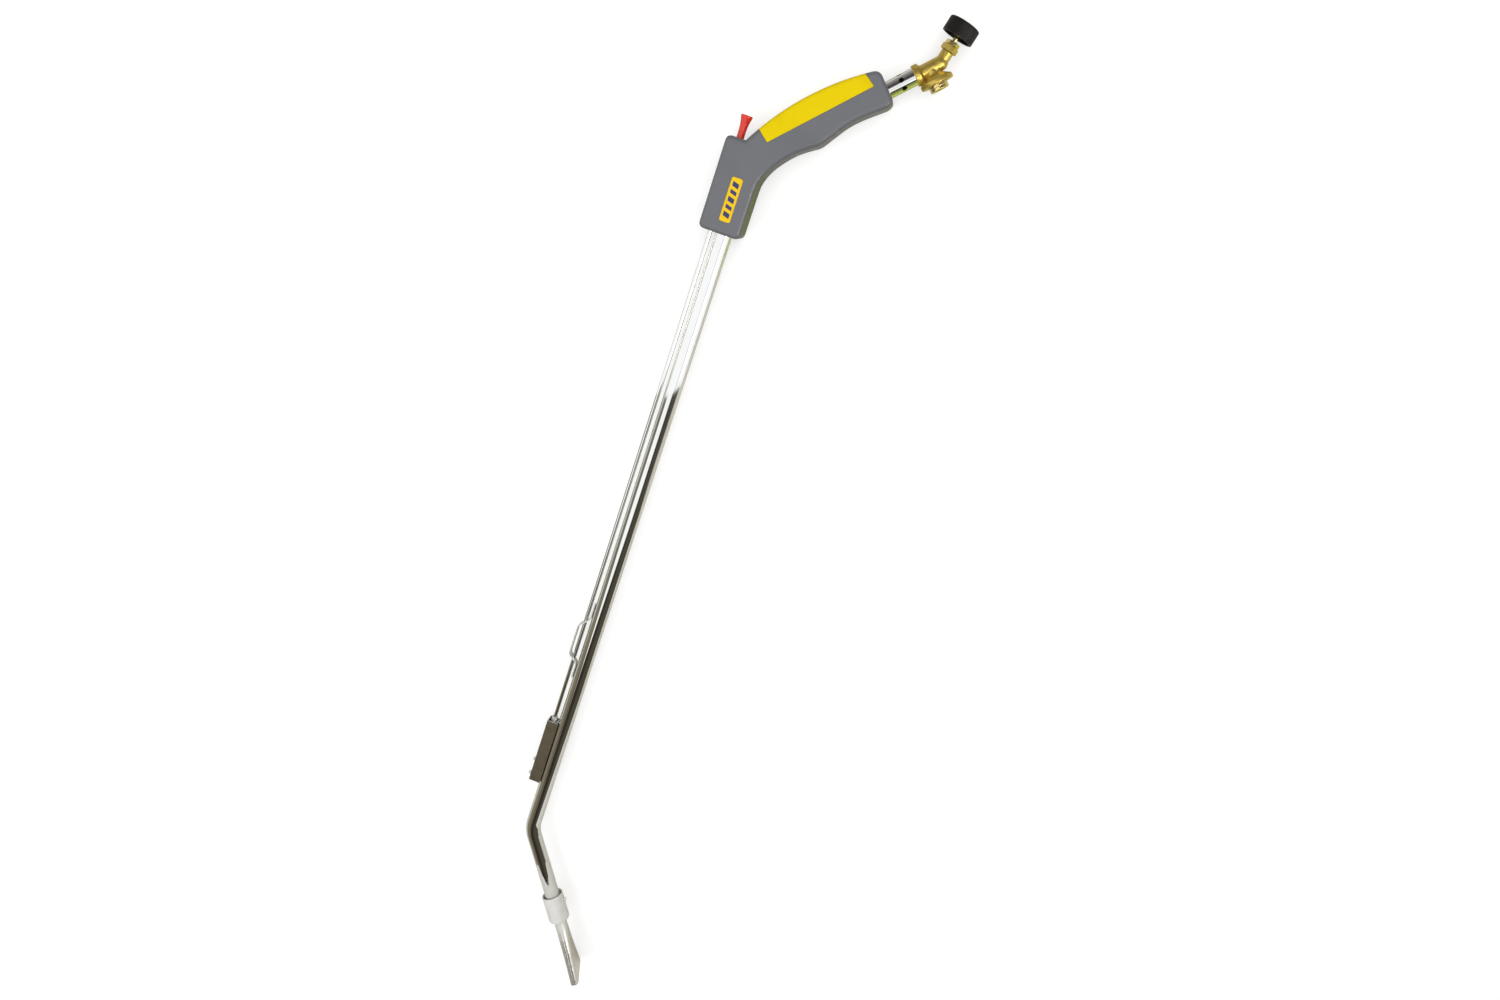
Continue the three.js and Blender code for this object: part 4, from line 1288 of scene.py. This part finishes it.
def valve():
    valve_body()
    gas_jet()
    cartridge_socket()
    show("cartridge_seal", ring(3, 5.6 - GAP, 10.6, 12.2, edge=0.3), CARTRIDGE)
    opening_pin()
    show("bonnet_nut", hex_nut(13.4, SPINDLE_R + GAP, 11.3, 16.3), SPINDLE)
    show("packing_nut", hex_nut(11.4, SPINDLE_R + GAP, 16.6, 20.2), SPINDLE)
    spindle_seal()
    valve_spindle()
    control_knob()


# ---- burner head


def burner_cup():
    wall = 1
    inner = CUP_R - wall
    neck = NOZZLE_NECK_R + GAP
    profile = [
        (inner, CUP_TOP), (CUP_R, CUP_TOP), (CUP_R, CUP_FOOT - 2.5), (CUP_R - 0.8, CUP_FOOT - 0.8),
        (CUP_R - 2.5, CUP_FOOT), (neck, CUP_FOOT), (neck, CUP_FOOT - wall),
        (inner, CUP_FOOT - wall - 1.5), (inner, CUP_TOP),
    ]
    cup = turned(eased(profile, 0.35), 96)
    hole = across(rod(1.5, CUP_R - 3, CUP_R + 1, 32), CUP_SCREW_S)
    show("burner_cup", without(cup, hole), HEAD, cup_satin())


def cup_screw():
    head = CUP_R + GAP
    tip = TUBE_R + GAP
    profile = [
        (0, tip), (1.2, tip), (1.2, head), (2, head), (2, head + 1.4), (1.4, head + 2),
        (0, head + 2.2),
    ]
    screw = across(turned(eased(profile, 0.25), 40), CUP_SCREW_S)
    slot_top = head + 3
    slot = block(CUP_SCREW_S - 3, CUP_SCREW_S + 3, slot_top - 1.6, slot_top, -0.25, 0.25)
    show("cup_screw", without(screw, slot), HEAD)


def air_ring():
    body = ring(TUBE_R + GAP, CUP_R - 1 - GAP, 97, 103, edge=0.2)
    slots = []
    for i in range(6):
        slot = block(96, 101, CUP_R - 2.2, CUP_R, -1.6, 1.6)
        slots.append(moved(slot, Matrix.Rotation(math.pi / 3 * (i + 0.5), 4, "X")))
    show("air_ring", without(body, *slots), HEAD)


def nozzle_section(s, half_width, half_thickness, sides, seam):
    """One flat-oval ring, with the sheet's seam as a groove down its near edge."""
    points = []
    offset = half_width - half_thickness
    for i in range(sides):
        angle = 2 * math.pi * (i + 0.5) / sides
        y = half_thickness * math.sin(angle)
        z = half_thickness * math.cos(angle)
        z += math.copysign(offset, math.cos(angle))
        if z > 0:
            z -= seam * math.exp(-((y / 0.35) ** 2))
        points.append((s, y, z))
    return points


def flame_nozzle():
    sides = 160
    start = CUP_FOOT + 3
    stations = [CUP_FOOT - 7, CUP_FOOT - 2]
    steps = 26
    stations += [start + (NOZZLE_END - start) * k / steps for k in range(steps + 1)]

    def section(s, wall, seam):
        wall += TRIM
        size = max((s - start) / (NOZZLE_END - start), 0)
        half_width = NOZZLE_NECK_R + (NOZZLE_HALF_WIDTH - NOZZLE_NECK_R) * size
        ease = math.sin(math.pi / 2 * size)
        half_thickness = NOZZLE_NECK_R + (NOZZLE_HALF_THICKNESS - NOZZLE_NECK_R) * ease
        return nozzle_section(s, half_width - wall, half_thickness - wall, sides, seam)

    rings = [section(s, 0, 0.3 if s > CUP_FOOT else 0) for s in stations]
    lip = NOZZLE_WALL / 2
    rings.append(section(NOZZLE_END, lip * 0.3, 0.3))
    rings += [section(s, NOZZLE_WALL, 0) for s in reversed(stations)]
    nozzle = skin(rings, close_rings=True)
    show("flame_nozzle", moved(nozzle, Matrix.Rotation(NOZZLE_ROLL, 4, "X")), HEAD)


def burner_head():
    burner_cup()
    cup_screw()
    air_ring()
    flame_nozzle()


# ---- studio

DOME_R = 1.2  # radius of the dome that the bright metal reflects, metres


def ray_is(tree, kind):
    return tree.nodes.new("ShaderNodeLightPath").outputs[f"Is {kind} Ray"]


def floor():
    """White paper to the eye; its bounce and reflections are those of duller ground."""
    bpy.ops.mesh.primitive_grid_add(x_subdivisions=2, y_subdivisions=2, size=6)
    sheet = bpy.context.object
    sheet.name = "floor"
    look = Finish("floor_paper", (0.60, 0.575, 0.49))
    look.tint(look.noise(60, 4), 0.4, 0.75, (0.44, 0.42, 0.35))
    look.tint(ray_is(look.material.node_tree, "Camera"), 0, 1, (0.5, 0.5, 0.495))
    glow = look.spread(ray_is(look.material.node_tree, "Camera"), 0, 1, 0, 0.56)
    look.links.new(glow, look.shader.inputs["Emission Strength"])
    sheet.data.materials.append(look.done(Roughness=0.7, Emission_Color=(1, 1, 0.995, 1)))


def dome_pattern(tree):
    """A bright tent over the handle, and a dim room with one tapering strip light.

    x and z are metres from the dome's middle, lean is in radians, and colours are linear.
    """
    draw = Pattern(tree)
    parts = draw.nodes.new("ShaderNodeSeparateXYZ")
    draw.links.new(draw.nodes.new("ShaderNodeTexCoord").outputs["Object"], parts.inputs[0])
    x, y, z = parts.outputs
    lean = draw.maths("ARCTAN2", y, z)  # from straight up towards +Y

    room = draw.mix(draw.step(lean, -0.6, -0.15), (0.075, 0.068, 0.048), (0.036, 0.028, 0.020))
    far_side = draw.mix(draw.step(x, -0.62, -0.36), (0.235, 0.20, 0.135), (0.165, 0.17, 0.135))
    room = draw.mix(draw.step(lean, 0.2, 0.95), room, far_side)
    room = draw.mix(draw.step(lean, 1.2, 1.5), room, (0.29, 0.28, 0.235))

    # Bright ground towards -Y with a slanting edge, duller in a patch nearer the handle.
    near_side = draw.plus(lean, draw.times(draw.plus(x, 0.765), 4.3))
    room = draw.mix(draw.step(near_side, -1.47, -1.67), room, (0.74, 0.71, 0.67))
    low = draw.times(draw.step(lean, -1.22, -1.40), draw.step(x, -0.40, -0.29))
    room = draw.mix(low, room, (0.5, 0.49, 0.45))

    # The strip light, a wedge that widens towards the handle.
    reach = draw.step(x, -0.753, -0.328, 0.0, 0.50)
    off_centre = draw.maths("ABSOLUTE", draw.plus(lean, -0.37), 0.0)
    inside = draw.maths("SUBTRACT", reach, off_centre)
    lit = draw.mix(draw.step(inside, -0.06, 0.10), room, (1.1, 1.1, 1.07))

    # The tent, with a grey seam and a lamp in it.
    seam = draw.times(draw.step(lean, -0.40, -0.30), draw.step(lean, -0.18, -0.28))
    tent = draw.mix(seam, (1.12, 1.12, 1.12), (0.72, 0.72, 0.72))
    lamp = draw.times(draw.step(lean, -0.92, -0.80), draw.step(lean, -0.56, -0.68))
    lamp = draw.times(lamp, draw.step(x, -0.1, 0.0))
    tent = draw.mix(lamp, tent, (11.0, 11.0, 10.8))
    sky = draw.mix(draw.step(x, -0.121, -0.1105), lit, tent)
    # What the valve end reflects, past the tent.
    beyond = draw.mix(draw.step(z, 0.08, 0.92), (0.32, 0.32, 0.31), (0.075, 0.06, 0.06))
    return draw.mix(draw.step(x, 0.42, 0.68), sky, beyond)


def seen_only_in_gloss(thing):
    """Keeps a reflector out of the picture, the shadows and the soft light."""
    thing.visible_camera = False
    thing.visible_diffuse = False
    thing.visible_shadow = False
    thing.visible_transmission = False


def reflection_dome():
    bpy.ops.mesh.primitive_uv_sphere_add(segments=96, ring_count=48, radius=DOME_R)
    dome = bpy.context.object
    dome.name = "reflection_dome"
    material = bpy.data.materials.new("reflection_dome")
    material.use_nodes = True
    material.cycles.emission_sampling = "NONE"
    tree = material.node_tree
    tree.nodes.clear()
    glow = tree.nodes.new("ShaderNodeEmission")
    tree.links.new(dome_pattern(tree), glow.inputs["Color"])
    output = tree.nodes.new("ShaderNodeOutputMaterial")
    tree.links.new(glow.outputs[0], output.inputs["Surface"])
    dome.data.materials.append(material)
    seen_only_in_gloss(dome)


def green_cards():
    """Two yellow-green cards, beside the valve and beside the foot of the handle."""
    floor_z = (GRIP.inverted() @ Vector((0, 0, 0))).z
    section = [(-24, 1), (-160, 1), (-200, 12), (-222, 40), (-232, 80), (-236, 150)]
    look = Finish("green_card", (0.44, 0.50, 0.10))
    look.tint(look.noise(30), 0.45, 0.8, (0.36, 0.44, 0.07))
    material = look.done(Roughness=0.8)
    for name, ends, strip in (("valve", (125, 260), section), ("foot", (-28, 20), section[:2])):
        vertices = [(s, t, floor_z + height) for t, height in strip for s in ends]
        faces = [(2 * i, 2 * i + 1, 2 * i + 3, 2 * i + 2) for i in range(len(strip) - 1)]
        card = solid(vertices, faces)
        card.name = "green_card_" + name
        moved(card, GRIP)
        card.data.materials.append(material)
        seen_only_in_gloss(card)


def softbox(name, place, aim, size, power):
    data = bpy.data.lights.new(name, "AREA")
    data.shape = "RECTANGLE"
    data.size, data.size_y = size
    data.energy = power
    lamp = bpy.data.objects.new(name, data)
    lamp.location = place
    lamp.rotation_euler = (Vector(aim) - Vector(place)).to_track_quat("-Z", "Y").to_euler()
    lamp.visible_glossy = False
    bpy.context.collection.objects.link(lamp)


def sky():
    """Soft light for the diffuse surfaces, fuller from above than from the sides."""
    world = bpy.data.worlds.new("studio")
    world.use_nodes = True
    bpy.context.scene.world = world
    draw = Pattern(world.node_tree)
    place = draw.nodes.new("ShaderNodeTexCoord").outputs["Generated"]
    parts = draw.nodes.new("ShaderNodeSeparateXYZ")
    draw.links.new(place, parts.inputs[0])
    soft = draw.mix(draw.step(parts.outputs[2], 0.1, 0.9), (0.2, 0.2, 0.2), (0.72, 0.72, 0.72))
    seen = draw.mix(ray_is(world.node_tree, "Camera"), soft, (0.9, 0.9, 0.9))
    draw.links.new(seen, draw.nodes["Background"].inputs["Color"])


def camera():
    """The photograph's viewpoint: above the handle end, looking down along the tube."""
    data = bpy.data.cameras.new("camera")
    data.lens = 26.4
    data.sensor_width = 36
    data.clip_start = 0.01
    viewpoint = LANCE @ Vector((76.8, -154.1, 1048.5))
    right = Vector((0.3212, -0.9371, -0.1368)).normalized()
    back = Vector((0.2813, -0.0436, 0.9586)).normalized()
    up = back.cross(right).normalized()
    right = up.cross(back)
    turn = Matrix((right, up, back)).transposed()
    eye = bpy.data.objects.new("camera", data)
    eye.matrix_world = Matrix.Translation(viewpoint) @ turn.to_4x4()
    bpy.context.collection.objects.link(eye)
    bpy.context.scene.camera = eye


def studio():
    floor()
    reflection_dome()
    green_cards()
    sky()
    softbox("key", (0.9, -0.5, 1.9), (0, 0, 0), (1.6, 1.6), 20)
    softbox("fill", (-0.9, 0.7, 1.9), (0, 0, 0), (1.6, 1.6), 16)
    bpy.context.scene.view_settings.view_transform = "Standard"
    camera()


# ---- the torch

for node, carried in frame["nodes"].items():
    carried.data.materials.clear()
    carried.data.materials.append(LOOKS[SLOT_OF[node]])

main_tube()
handle_shells()
grip_inlay()
handle_screws()
label()
igniter()
valve()
burner_head()
studio()
